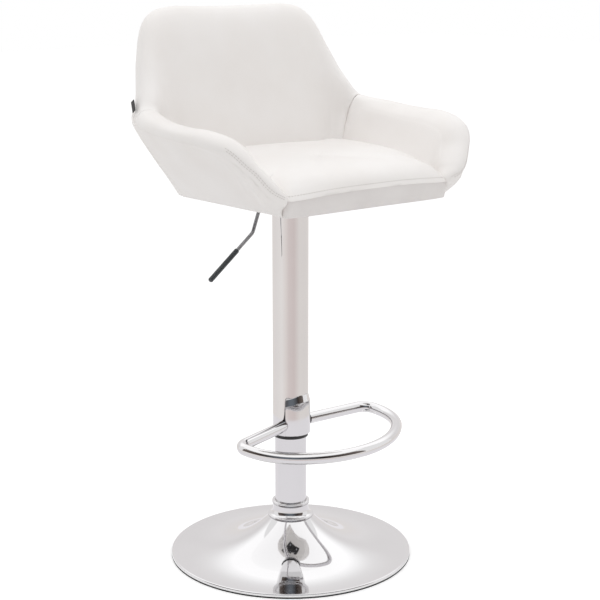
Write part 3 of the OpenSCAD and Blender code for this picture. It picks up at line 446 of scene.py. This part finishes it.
# Each row is a station: foot x, y, knee x, y, height, rim centre x, y, height, rim radius, heading and the wall's
# thickness at the knee, in mm and degrees
def wallRows(t):
    fx, fb, ff = t["width"] / 2, t["back"], -t["front"]
    ax, az = t["armSpan"] / 2, t["armHeight"] - t["rim"]
    bt, bx, by = t["backHeight"] - t["rim"] + 1, t["topWidth"] / 2 - t["rim"] + 1, t["rake"]
    br, rr = t["rim"] - 1, t["rim"]
    return np.array([
        [0, fb, 0, fb + 50, 100, 0, by, bt + 2, br, 90, 45],
        [55, fb, 62, fb + 49, 100, 58, by, bt + 2, br, 89, 45],
        [fx - 50, fb, fx - 40, fb + 47, 100, bx - 23, by - 1, bt + 1, br, 84, 44],
        [fx - 25, fb, fx - 12, fb + 44, 100, bx + 8, by - 6, bt - 12, br, 70, 43],
        [fx - 9, fb - 3, fx + 14, fb + 38, 98, bx + 31, by - 24, bt - 60, br, 54, 42],
        [fx - 2, fb - 10, fx + 37, fb + 27, 95, bx + 49, by - 49, az + 50, br, 38, 42],
        [fx, fb - 27, fx + 59, fb + 1, 90, ax - 23, by - 78, az + 13, rr, 21, 41],
        [fx, fb - 76, fx + 58, fb - 72, 69, ax - 4, by - 150, az + 4, rr, 5, 40],
        [fx, fb - 133, fx + 53, fb - 135, 60, ax, by - 208, az, rr, 0, 38],
        [fx, fb - 181, fx + 49, fb - 185, 56, ax - 1, by - 258, az - 3, rr, -4, 36],
        [fx - 1, ff + 44, fx + 42, ff + 40, 48, ax - 10, ff + 40, az - 14, rr - 0.5, -12, 35],
        [fx, ff + 22, fx + 34, ff + 20, 31, ax - 28, ff + 19, az - 40, rr - 2, -24, 38],
        [fx, ff + 11, fx + 27, ff + 7, 14, ax - 48, ff + 6, az - 66, rr - 3, -35, 41],
        [fx, ff + 4, fx + 4, ff + 1, 10, ax - 72, ff + 3, az - 82, rr - 10, -42, 32]], float)


rowsRight = wallRows(tub)


def rowAt(i):  # a whole station, held at the last one beyond the arms' ends
    row = rowsRight[min(abs(i), tub["last"])].copy()
    if i < 0:
        row[[0, 2, 5]] *= -1
        row[9] = 180 - row[9]
    return row


def station(s):  # the section's numbers anywhere between two stations
    i = min(max(math.floor(s), -tub["last"]), tub["last"] - 1)
    t = s - i
    return between(*(rowAt(i + k) for k in (-1, 0, 1, 2)), t)


def through(a, m, b, v):  # a curve from a to b that passes m half way
    return a * (1 - v) * (1 - 2 * v) + m * 4 * v * (1 - v) + b * v * (2 * v - 1)


# around runs 0 to 1 up the outside, 1 to 2 over the rim, 2 to 3 down the inside and 3 to 4 under the foot
def sectionPoints(s, around, inset):
    q = station(s)
    heading = math.radians(q[9])
    n = np.array([math.cos(heading), math.sin(heading), 0])
    t = unit(station(min(s + 0.1, tub["last"]))[5:8] - station(max(s - 0.1, -tub["last"]))[5:8])
    out = unit(n - t * n.dot(t))
    up = np.cross(t, out)
    foot, knee, centre = np.array([q[0], q[1], 0]), q[2:5], q[5:8]
    armShare = float(smooth01((abs(s) - 4) / 4))  # the back's softness turns into the arms' from station 4 to 8
    soft = tub["softBack"] + (tub["softArm"] - tub["softBack"]) * armShare
    radius, footWall, kneeWall, edge = q[8] - inset, tub["foot"] - inset, q[10] - inset, tub["footRound"]
    points = []
    for w in around:
        if w <= 1:
            p = through(foot - n * inset, knee - n * inset, centre + out * radius, w)
            into = -n
        elif w < 2:
            a = math.radians((w - 1) * 180)
            p, into = centre + radius * (out * math.cos(a) + up * math.sin(a)), n * 0
        elif w <= 3:
            p = through(foot - n * footWall, knee - n * kneeWall, centre - out * radius, 3 - w)
            into = n
        else:
            k = w - 3
            p, into = foot - n * (footWall - edge) + n * (footWall - edge - inset - edge) * k, n * 0
        if p[2] < edge and w <= 3:  # the lower edge is rolled under the seat
            p = p + into * (edge - math.sqrt(max(edge ** 2 - (edge - p[2]) ** 2, 0)))
        points.append(p)
    # the crest runs into the inside on one long soft curve
    low = int(np.argmin(np.abs(np.array(around) - (3 - tub["softTo"]))))
    first = int(np.argmin(np.abs(np.array(around) - 1.5)))
    a, d = points[first], points[low]
    b = a - out * radius * tub["crestPull"]
    c = d + unit(points[low - 1] - points[low]) * np.linalg.norm(a - d) * tub["insidePull"]
    for k in range(first + 1, low):
        t = (around[k] - 1.5) / (around[low] - 1.5)
        curve = a * (1 - t) ** 3 + 3 * b * t * (1 - t) ** 2 + 3 * c * t * t * (1 - t) + d * t ** 3
        points[k] = points[k] * (1 - soft) + curve * soft
    return np.array(points)


def seamInset(millimetres, depth, width):  # how far the cover turns in towards a seam or an end
    x = min(max(millimetres / width, 0), 1)
    return depth * (1 - math.sqrt(max(1 - (1 - x) ** 2, 0)))


upWall = [0, 0.012, 0.03, 0.055, 0.09, 0.13, 0.18, 0.24, 0.30, 0.36, 0.42, 0.48, 0.54, 0.60, 0.66, 0.715, 0.765, 0.81,
          0.85, 0.88, 0.905, 0.925, 0.945, 0.962, 0.98]
overRim = [1 + a / 180 for a in (0, 8, 17, 26, 36, 48, 60, 74, 88, 102, 116, 130, 143, 155, 164, 172)]
underFoot = [3.3, 3.6]
aroundRing = upWall + overRim + [2] + [3 - v for v in reversed(upWall)] + underFoot


def stationsOf(start, end, closeSteps=(0.012, 0.028, 0.05, 0.08, 0.115)):  # even, with close ones at both ends
    n = math.ceil((end - start) / tub["stationStep"])
    middle = [start + (end - start) * i / n for i in range(1, n)]
    return [start] + [start + d for d in closeSteps] + middle[1:-1] + [end - d for d in reversed(closeSteps)] + [end]


def wallGrid(start, end, seams):  # seams says which of its two ends are sewn to another pad
    rows = []
    for s in stationsOf(start, end):
        toStart = np.linalg.norm(station(s)[5:8] - station(start)[5:8])
        toEnd = np.linalg.norm(station(s)[5:8] - station(end)[5:8])
        inset = tub["tuck"]
        for distance, sewn in ((toStart, seams[0]), (toEnd, seams[1])):
            depth, width = ("seamDepth", "seamWidth") if sewn else ("endRound", "endWidth")
            inset += seamInset(distance, tub[depth], tub[width])
        rows.append(sectionPoints(s, aroundRing, inset))
    grid = np.array(rows)
    grid[:, :, 2] += tub["seatHeight"]
    return grid * mm


# Cloth: a closed cover swells under a little pressure, is held at its seams, and may move only so far

cloth = {"pressure": 4.0, "frames": 20, "quality": 6, "tension": 25, "compression": 12, "bending": 0.8}


def swell(name, grid, pinRows, pinColumns, cap, rowStep=2, columnStep=2):
    height, width = grid.shape[:2]
    rows = sorted(set(range(0, height, rowStep)) | {height - 1})
    columns = list(range(0, width, columnStep))
    coarse = grid[np.ix_(rows, columns)]
    cover = placeMesh(name + "_cover", *gridMesh(coarse))
    pins = cover.vertex_groups.new(name="sewn")
    count = len(rows) * len(columns)
    held = [i * len(columns) + j for i, r in enumerate(rows) for j, c in enumerate(columns)
            if r in pinRows or height - 1 - r in pinRows or c in pinColumns]
    pins.add(held + [count, count + 1], 1.0, "REPLACE")
    fabric = cover.modifiers.new("cover", "CLOTH")
    fabric.settings.use_pressure = True
    fabric.settings.uniform_pressure_force = cloth["pressure"]
    fabric.settings.vertex_group_mass = "sewn"
    fabric.settings.quality = cloth["quality"]
    fabric.settings.tension_stiffness = cloth["tension"]
    fabric.settings.compression_stiffness = cloth["compression"]
    fabric.settings.bending_stiffness = cloth["bending"]
    fabric.settings.effector_weights.gravity = 0
    fabric.point_cache.frame_start, fabric.point_cache.frame_end = 1, cloth["frames"]
    scene = bpy.context.scene
    for moment in range(1, cloth["frames"] + 1):
        scene.frame_set(moment)
    settled = cover.evaluated_get(bpy.context.evaluated_depsgraph_get())
    after = np.array([v.co for v in settled.data.vertices], float)[:count].reshape(coarse.shape)
    moved = after - coarse
    bpy.data.objects.remove(cover)
    scene.frame_set(1)
    far = np.linalg.norm(moved, axis=2, keepdims=True)
    moved *= cap * mm * np.tanh(far / (cap * mm)) / np.maximum(far, 1e-9)
    moved = np.concatenate([moved, moved[:, :1]], axis=1)  # round to the first column again
    wide = np.stack([[np.interp(range(width), columns + [width], row[:, k]) for row in moved]
                     for k in range(3)], axis=2)
    full = np.stack([np.stack([np.interp(range(height), rows, wide[:, j, k]) for j in range(width)], axis=1)
                     for k in range(3)], axis=2)
    for turn in range(3):  # soften the steps between the coarse cover's points
        full[1:-1] = (full[:-2] + 2 * full[1:-1] + full[2:]) / 4
        full = (np.roll(full, 1, 1) + 2 * full + np.roll(full, -1, 1)) / 4
    print(name, "swelled, at most", round(float(np.linalg.norm(full, axis=2).max()) / mm, 1), "mm")
    return full


def gridNormals(grid):  # outwards at every point
    rowWay = np.gradient(grid, axis=0)
    columnWay = np.roll(grid, -1, 1) - np.roll(grid, 1, 1)
    n = np.cross(columnWay, rowWay)
    return n / np.maximum(np.linalg.norm(n, axis=2, keepdims=True), 1e-12)


def fromRoll(grid):  # distances round each section in mm, from where the outside meets the roll: down is negative
    start = len(upWall)
    steps = np.linalg.norm(np.diff(grid, axis=1), axis=2) / mm
    along = np.concatenate([np.zeros((len(grid), 1)), np.cumsum(steps, axis=1)], axis=1)
    return along - along[:, start:start + 1]


# The front of each arm's roll: a sewn valley under it, a low shoulder above that and gathers below, in mm.
# It comes in between the stations fadeFrom and fadeFull and goes out before outAt.
roll = {"fadeFrom": 9.6, "fadeFull": 10.5, "outAt": 12.9, "outOver": 0.9, "ripple": 0.35,
        "valleyAt": 1.5, "valleyWidth": 8.0, "valleyDepth": 4.2,
        "shoulderUp": 12, "shoulderWidth": 6, "shoulderRise": 0.8,
        "gatherDown": 5, "gatherWidth": 9, "gatherDepth": 0.8, "gatherBeat": 19, "gatherSwell": 7.3}


def armRelief(grid, stations):
    r, s, d = roll, np.abs(np.array(stations))[:, None], fromRoll(grid)
    fade = smooth01((s - r["fadeFrom"]) / (r["fadeFull"] - r["fadeFrom"])) * smooth01((r["outAt"] - s) / r["outOver"])
    valley = r["valleyDepth"] * fade * bell((d - r["valleyAt"]) / r["valleyWidth"])
    shoulder = r["shoulderRise"] * fade * bell((d - r["valleyAt"] - r["shoulderUp"]) / r["shoulderWidth"])
    gathers = r["gatherDepth"] * fade * bell((d - r["valleyAt"] + r["gatherDown"]) / r["gatherWidth"])
    gathers = gathers * np.sin(s * r["gatherBeat"] + 0.6) * (0.6 + 0.4 * np.sin(s * r["gatherSwell"]))
    return shoulder - valley + gathers


def ripples(grid, amount):  # slow unevenness of foam under a cover, in waves of 120 to 260 mm that don't line up
    x, y, z = (grid[..., k] / mm for k in range(3))
    return amount * (np.sin(x / 23 + 1.3 * np.sin(z / 31)) * np.sin(y / 27 + 0.7) + 0.6 * np.sin(z / 19 + x / 41))


# Thread sizes in mm. taper is (share of a stitch's length, share of its thickness, how far its middle stands off).
stitch = {"length": 3.2, "gap": 1.3, "radius": 0.42, "first": 0.5, "sides": 6,
          "taper": [(0, 0.35, 0.25), (0.12, 0.85, 0.6), (0.5, 1, 0.6), (0.88, 0.85, 0.6), (1, 0.35, 0.25)]}


def addStitches(name, points, normals, body):  # thread along a line of surface points
    points, normals = np.array(points), np.array(normals)
    along = np.concatenate([[0], np.cumsum(np.linalg.norm(np.diff(points, axis=0), axis=1))]) / mm
    length, radius, sides, last = stitch["length"], stitch["radius"], stitch["sides"], len(stitch["taper"]) - 1
    verts, faces, at = [], [], stitch["first"]

    def on(where):
        return (np.array([np.interp(where, along, points[:, k]) for k in range(3)]),
                unit(np.array([np.interp(where, along, normals[:, k]) for k in range(3)])))

    while at + length < along[-1]:
        start = len(verts)
        for share, thick, lift in stitch["taper"]:
            p, n = on(at + share * length)
            ahead, behind = on(at + share * length + 0.3)[0], on(at + share * length - 0.3)[0]
            side = unit(np.cross(n, ahead - behind))
            middle = p + n * (lift * radius) * mm
            verts += [middle + radius * thick * mm * (side * math.cos(a) + n * math.sin(a)) for a in circle(sides)]
        for k in range(last):
            faces += [tuple(start + corner for corner in quad(k, k + 1, j, sides)) for j in range(sides)]
        faces += [tuple(start + end + j for j in range(sides)) for end in (0, last * sides)]
        at += length + stitch["gap"]
    return newPiece(name, verts, faces, thread, body, "leatherette")


pads = {
    "back_padding": {"node": "back_pad", "start": -tub["seam"], "end": tub["seam"], "seams": (True, True), "cap": 4},
    "left_arm_padding": {"node": "left_arm_pad", "start": -tub["last"], "end": -tub["seam"], "seams": (False, True),
                         "cap": 4},
    "right_arm_padding": {"node": "right_arm_pad", "start": tub["seam"], "end": tub["last"], "seams": (True, False),
                          "cap": 4}}
underColumns = {0, 1, 2, 3} | set(range(len(aroundRing) - 6, len(aroundRing)))  # the foot, where the cover is stapled
padGrids = {}
for name, pad in pads.items():
    stations = stationsOf(pad["start"], pad["end"])
    grid = wallGrid(pad["start"], pad["end"], pad["seams"])
    grid = grid + swell(name, grid, {0, 1, 2}, underColumns, pad["cap"])  # three rows at each end are its seam
    relief = ripples(grid, roll["ripple"])
    if "arm" in name:
        relief = relief + armRelief(grid, stations)
    grid = grid + gridNormals(grid) * relief[..., None] * mm
    piece = newPiece(name, *gridMesh(grid), leatherette, bodyOf(pad["node"]), "leatherette")
    sharpen(piece, 60)
    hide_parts(pad["node"])
    padGrids[name] = (stations, grid)
print("wall padding made")

# Seat cushion: a border band sewn to a crowned top

# front and corner are how far the border reaches forwards and to each side, gap keeps clear of the wall pads, and
# lean is how much further in the foot stands. crown, fall, side and droop shape the top. seamRound and wallRound are
# how far its edge turns down at the seam and along the wall: at the seam in a tight curl and a long soft one.
# frontIn, bulge and the seam's numbers shape the border. bow is its line from the middle to the corner, as (share of
# corner, how far back), sides are stations of the wall, border and inwards are shares of the height and of the top.
cushion = {"front": 196, "corner": 154.5, "gap": 0.5, "lean": 2,
           "crown": 66.5, "fall": 18, "fallPower": 2.2, "side": 3, "sideAt": 170, "droop": 6,
           "seamRound": 19, "wallRound": 9, "tightShare": 0.37, "tightWidth": 12, "softWidth": 36,
           "frontIn": 12, "frontPower": 1.6, "bulge": 2.5, "borderHeight": 33, "seamDepth": 2.0, "seamWidth": 4,
           "bow": [(0, 0), (0.3, 0.4), (0.6, 1.5), (0.88, 5), (1, 15)],
           "sides": [10.6, 10, 9.2, 8.4, 7.6, 6.9, 6.3, 5.7, 5.1, 4.5, 4, 3.5, 3, 2.4, 1.6, 0.8, 0],
           "middle": (0, -70), "steps": 5, "cap": 5, "ripple": 0.4, "sharp": 70,
           "border": [0, 0.04, 0.1, 0.2, 0.32, 0.45, 0.58, 0.7, 0.8, 0.88, 0.93, 0.965, 0.985, 1],
           "inwards": [0.005, 0.012, 0.021, 0.033, 0.048, 0.068, 0.095, 0.13, 0.18, 0.25, 0.34, 0.45, 0.57, 0.69, 0.81,
                       0.91, 0.97]}


def innerAt(s, z, gap):  # the wall's inner face at a height above the seat board's underside
    q = station(s)
    heading = math.radians(q[9])
    n = np.array([math.cos(heading), math.sin(heading)])
    k2, k1 = 2 * q[7] - 4 * q[4], 4 * q[4] - q[7]
    # v is how far up the section the face reaches that height
    v = z / k1 if abs(k2) < 0.01 else (math.sqrt(max(k1 * k1 + 4 * k2 * z, 0)) - k1) / (2 * k2)
    return through(q[0:2] - n * tub["foot"], q[2:4] - n * q[10], q[5:7] - n * q[8], v) - n * gap


def topHeight(x, y):  # the crowned top above the seat board's underside
    forward = max(-y, 0) / cushion["front"]
    droop = cushion["droop"] * abs(x / cushion["corner"]) ** 3 * forward ** 3
    fall = cushion["fall"] * forward ** cushion["fallPower"]
    return cushion["crown"] - fall - cushion["side"] * (x / cushion["sideAt"]) ** 2 - droop


def edgeRound(k):  # how far the top turns down at its edge: k is 0 at the front, 1 along the wall
    return cushion["seamRound"] + (cushion["wallRound"] - cushion["seamRound"]) * k


def wallShare(i):  # the front's edge becomes the wall's over the first three points of the side
    return min(1, (i + 1) / 3)


def cushionRing(f):  # the outline at share f of the height up to the top's edge
    c, half = cushion, []
    turnIn = c["frontIn"] * (1 - f) ** c["frontPower"] - c["bulge"] * math.sin(math.pi * f)
    turnIn += seamInset((1 - f) * c["borderHeight"], c["seamDepth"], c["seamWidth"])
    for share, back in c["bow"]:
        x = c["corner"] * share
        y = -c["front"] + turnIn * (1 - 0.5 * (x / c["corner"]) ** 2) + back
        half.append((x, y, f * (topHeight(x, y) - edgeRound(0))))
    for i, s in enumerate(c["sides"]):
        guess = innerAt(s, 50, c["gap"])
        z = f * (topHeight(*guess) - edgeRound(wallShare(i)))
        x, y = innerAt(s, z, c["gap"] + c["lean"] * (1 - f))
        half.append((x, y, z))
    ring = half + [(-x, y, z) for x, y, z in reversed(half[1:-1])]
    return np.array(ring)


def closeSpline(ring, steps):  # a smooth closed line through the ring's points
    n = len(ring)
    return np.array([between(ring[i - 1], ring[i], ring[(i + 1) % n], ring[(i + 2) % n], k / steps)
                     for i in range(n) for k in range(steps)])


def edgeDrop(d, k):  # how far the top lies below its crown at d from its edge
    c, r, wall = cushion, edgeRound(k), float(smooth01(k))
    curl = seamInset(d, c["tightShare"] * r, c["tightWidth"])
    curl += (1 - c["tightShare"]) * r * max(1 - d / c["softWidth"], 0) ** 2
    return wall * seamInset(d, r, r) + (1 - wall) * curl


def makeCushion(c):  # the grid, and for each column its share of wall
    wallward = np.array([0] * len(c["bow"]) + [wallShare(i) for i in range(len(c["sides"]))])
    wallward = np.concatenate([wallward, wallward[-2:0:-1]])
    wallward = closeSpline(wallward[:, None], c["steps"])[:, 0]
    rows = [closeSpline(cushionRing(f), c["steps"]) for f in c["border"]]
    edge = rows[-1]
    centre = np.array(c["middle"])
    for inwards in c["inwards"]:
        ring = []
        for p, k in zip(edge, wallward):
            flat = p[:2] + (centre - p[:2]) * inwards
            drop = edgeDrop(np.linalg.norm(flat - p[:2]), k)
            ring.append((flat[0], flat[1], topHeight(*flat) - drop))
        rows.append(np.array(ring))
    grid = np.array(rows)
    grid[:, :, 2] += tub["seatHeight"]
    return grid * mm, wallward


cushionGrid, wallward = makeCushion(cushion)
seamRow = len(cushion["border"]) - 1
fromSeam = np.arange(len(cushionGrid)) - seamRow  # in rows
swollen = swell("seat_cushion_pad", cushionGrid, {0}, set(), cushion["cap"], 1, 2)
cushionGrid = cushionGrid + swollen * (1 - bell(fromSeam / 1.5))[:, None, None]  # the seam itself is held
relief = ripples(cushionGrid, cushion["ripple"]) * (fromSeam > 3)[:, None]
cushionGrid = cushionGrid + gridNormals(cushionGrid) * relief[..., None] * mm
columns = cushionGrid.shape[1]
seatCushion = newPiece("seat_cushion_pad", *gridMesh(cushionGrid), leatherette, bodyOf("seat_cushion"), "leatherette")
# a second slot holds the greyer copy, and the front border's faces below the seam take it: painted shade
seatCushion.data.materials.append(paintedShadeBorderLeatherette)
for polygon in seatCushion.data.polygons:
    if polygon.index < seamRow * columns and wallward[polygon.index % columns] < 0.3:
        polygon.material_index = 1
sharpen(seatCushion, cushion["sharp"])
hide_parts("seat_cushion")
print("cushion made")

# Topstitching: two rows above each arm's valley, in mm from where the roll begins, and one along the cushion's front

rollRows = {"first": 9.8, "last": 12.7, "inner": 12.4, "outer": 9.4}
frontRow = {"behind": 2, "reach": 27}  # grid rows behind the seam, and columns to each side of the middle


def stitchAlong(name, grid, stations, distance, body):
    shown = len(aroundRing) - len(underFoot) - 1
    d, normals = fromRoll(grid)[:, :shown], gridNormals(grid)[:, :shown]
    line, out = [], []
    for i, s in enumerate(stations):
        if rollRows["first"] <= abs(s) <= rollRows["last"]:
            line.append([np.interp(distance, d[i], grid[i, :shown, k]) for k in range(3)])
            out.append([np.interp(distance, d[i], normals[i, :, k]) for k in range(3)])
    return addStitches(name, line, out, body)


for side in ("left", "right"):
    stations, grid = padGrids[side + "_arm_padding"]
    for label in ("inner", "outer"):
        stitchAlong(f"{side}_roll_stitches_{label}", grid, stations, rollRows[label], bodyOf(side + "_arm_pad"))
normals = gridNormals(cushionGrid)
stitchRow = seamRow + frontRow["behind"]
front = [j % columns for j in range(-frontRow["reach"], frontRow["reach"] + 1)]
addStitches("cushion_front_stitches", cushionGrid[stitchRow, front], normals[stitchRow, front], bodyOf("seat_cushion"))
print("stitching made")

# Stage: pale floor, soft light, camera

room = {"ambient": 0.83, "seenWhite": 1.0, "floorColour": "f4f4f4", "floorGlow": 0.32, "floorHalf": 12}


def seenRays(tree):  # 1 for what the lens, the gloss and clear parts see, 0 for what lights the stool
    ray = addNode(tree, "ShaderNodeLightPath")
    seen = addNode(tree, "ShaderNodeMath", {"operation": "MAXIMUM"},
                   {0: ray.outputs["Is Camera Ray"], 1: ray.outputs["Is Glossy Ray"]})
    seen = addNode(tree, "ShaderNodeMath", {"operation": "MAXIMUM"},
                   {0: seen.outputs[0], 1: ray.outputs["Is Transmission Ray"]})
    return seen.outputs[0]


def makeWorld(r):
    world = bpy.data.worlds.new("softRoom")
    bpy.context.scene.world = world
    world.use_nodes = True
    tree = world.node_tree
    seen = seenRays(tree)
    white = addNode(tree, "ShaderNodeBackground", {"Color": linear("ffffff"), "Strength": r["seenWhite"]})
    ambient = addNode(tree, "ShaderNodeBackground", {"Color": linear("ffffff"), "Strength": r["ambient"]})
    chosen = addNode(tree, "ShaderNodeMixShader", {}, {0: seen, 1: ambient.outputs[0], 2: white.outputs[0]})
    tree.links.new(chosen.outputs[0], tree.nodes["World Output"].inputs["Surface"])


def makeFloor(r):  # matte paper with a little glow of its own, so that it shows white and keeps the shadow
    half = r["floorHalf"]
    floorMesh = bpy.data.meshes.new("studio_floor")
    floorMesh.from_pydata([(-half, -half, 0), (half, -half, 0), (half, half, 0), (-half, half, 0)], [], [(0, 1, 2, 3)])
    floor = bpy.data.objects.new("studio_floor", floorMesh)
    bpy.context.scene.collection.objects.link(floor)
    paper = bpy.data.materials.new("paperFloorMatte")
    paper.use_nodes = True
    tree = paper.node_tree
    glow = addNode(tree, "ShaderNodeMath", {"operation": "MULTIPLY", 1: r["floorGlow"]}, {0: seenRays(tree)})
    shader = tree.nodes["Principled BSDF"]
    shader.inputs["Base Color"].default_value = linear(r["floorColour"])
    shader.inputs["Roughness"].default_value = 0.9
    shader.inputs["Specular IOR Level"].default_value = 0.0
    shader.inputs["Emission Color"].default_value = linear("ffffff")
    tree.links.new(glow.outputs[0], shader.inputs["Emission Strength"])
    floorMesh.materials.append(paper)


makeWorld(room)
makeFloor(room)

# Flags and cards that only the gloss sees, as round a packshot table. Angles are from the lens's side, to the right;
# near and far are distances from the column, low and high the heights there. The ramp runs round (X) or from near
# and low to far and high (Y).
lensSide = 219  # degrees from the stool's back round to the lens, clockwise from above
flags = {
    "darkFlag": {"near": 3.0, "far": 3.0, "low": 0.3, "high": 2.6, "from": -85, "to": 80, "level": 1.0,
                 "ramp": [(0.0, "7a716c"), (0.22, "463e3a"), (0.45, "6f757c"), (0.55, "6f757c"), (0.75, "3a3330"),
                          (1.0, "7a716c")]},
    "nearFloorCard": {"near": 0.21, "far": 0.75, "low": 0.002, "high": 0.002, "from": -180, "to": 180, "level": 1.0,
                      "ramp": [(0.0, "f6f4f7"), (0.5, "f8f6f9"), (1.0, "f6f4f7")]},
    "farFloorCard": {"near": 0.75, "far": 5.0, "low": 0.002, "high": 0.002, "from": -180, "to": 180, "level": 1.0,
                     "ramp": [(0.0, "f0ebe8"), (0.34, "fdf9f6"), (0.42, "f4ece8"), (0.47, "e9dedb"), (0.56, "e4d8d5"),
                              (0.66, "f3eeea"), (1.0, "f0ebe8")]},
    "backCard": {"near": 4.0, "far": 4.0, "low": 0.0, "high": 4.6, "from": 120, "to": 240, "level": 1.35, "run": "Y",
                 "ramp": [(0.0, "d1cecc"), (0.08, "d3d0cf"), (0.2, "d6d4d4"), (0.32, "d3d1d1"), (0.38, "d6d4d4"),
                          (0.45, "dfdede"), (0.54, "f0f0f0"), (0.65, "ffffff")]},
    "ceilingCard": {"near": 0.1, "far": 4.0, "low": 4.6, "high": 4.6, "from": -180, "to": 180, "level": 1.3, "run": "Y",
                    "ramp": [(0.0, "f4f4f4"), (1.0, "ffffff")]}}


def makeFlag(name, f):
    points, n = [], 60  # n steps round
    for i in range(n + 1):
        a = math.radians(lensSide - f["from"] + (f["from"] - f["to"]) * i / n)
        points += [(distance * math.sin(a), distance * math.cos(a), height)
                   for distance, height in ((f["near"], f["low"]), (f["far"], f["high"]))]
    mesh = bpy.data.meshes.new(name)
    mesh.from_pydata(points, [], [(2 * i, 2 * i + 1, 2 * i + 3, 2 * i + 2) for i in range(n)])
    place = mesh.uv_layers.new(name="round")
    for loop in mesh.loops:
        place.data[loop.index].uv = (loop.vertex_index // 2 / n, loop.vertex_index % 2)
    card = bpy.data.objects.new(name, mesh)
    bpy.context.scene.collection.objects.link(card)
    card.visible_camera = card.visible_diffuse = card.visible_shadow = card.visible_transmission = False
    cardboard = bpy.data.materials.new(name + "Paper")
    cardboard.use_nodes = True
    tree = cardboard.node_tree
    shader = tree.nodes["Principled BSDF"]
    uv = addNode(tree, "ShaderNodeUVMap", {"uv_map": "round"})
    along = addNode(tree, "ShaderNodeSeparateXYZ", {}, {0: uv.outputs["UV"]})
    ramp = addNode(tree, "ShaderNodeValToRGB", {}, {0: along.outputs[f.get("run", "X")]})
    stops = ramp.color_ramp.elements
    for stop, (position, colour) in zip(stops, (f["ramp"][0], f["ramp"][-1])):
        stop.position, stop.color = position, linear(colour)
    for position, colour in f["ramp"][1:-1]:
        stops.new(position).color = linear(colour)
    shader.inputs["Base Color"].default_value = (0, 0, 0, 1)
    shader.inputs["Specular IOR Level"].default_value = 0
    shader.inputs["Emission Strength"].default_value = f["level"]
    tree.links.new(ramp.outputs["Color"], shader.inputs["Emission Color"])
    mesh.materials.append(cardboard)


for name, f in flags.items():
    makeFlag(name, f)

lamps = {"topSoftbox": {"place": (0.3, 0.4, 2.8), "aim": (0, 0, 0.5), "size": 2.2, "power": 12}}
for name, lamp in lamps.items():
    light = bpy.data.lights.new(name, "AREA")
    light.energy, light.size = lamp["power"], lamp["size"]
    light.shape = "DISK"
    placed = bpy.data.objects.new(name, light)
    placed.location = lamp["place"]
    placed.rotation_euler = (Vector(lamp["aim"]) - Vector(lamp["place"])).to_track_quat("-Z", "Y").to_euler()
    placed.visible_glossy = False
    bpy.context.scene.collection.objects.link(placed)

view = {"place": (-1.438, -1.776, 0.938), "turn": 39.37, "down": 12.87, "lens": 90, "sensor": 36, "clip": 50}
lens = bpy.data.cameras.new("viewCamera")
lens.lens, lens.sensor_width, lens.clip_end = view["lens"], view["sensor"], view["clip"]
camera = bpy.data.objects.new("viewCamera", lens)
camera.location = view["place"]
turn, down = math.radians(view["turn"]), math.radians(view["down"])
aim = Vector((math.sin(turn) * math.cos(down), math.cos(turn) * math.cos(down), -math.sin(down)))
camera.rotation_euler = aim.to_track_quat("-Z", "Y").to_euler()
bpy.context.scene.collection.objects.link(camera)
bpy.context.scene.camera = camera
bpy.context.scene.view_settings.view_transform = "Standard"
print("stage set")
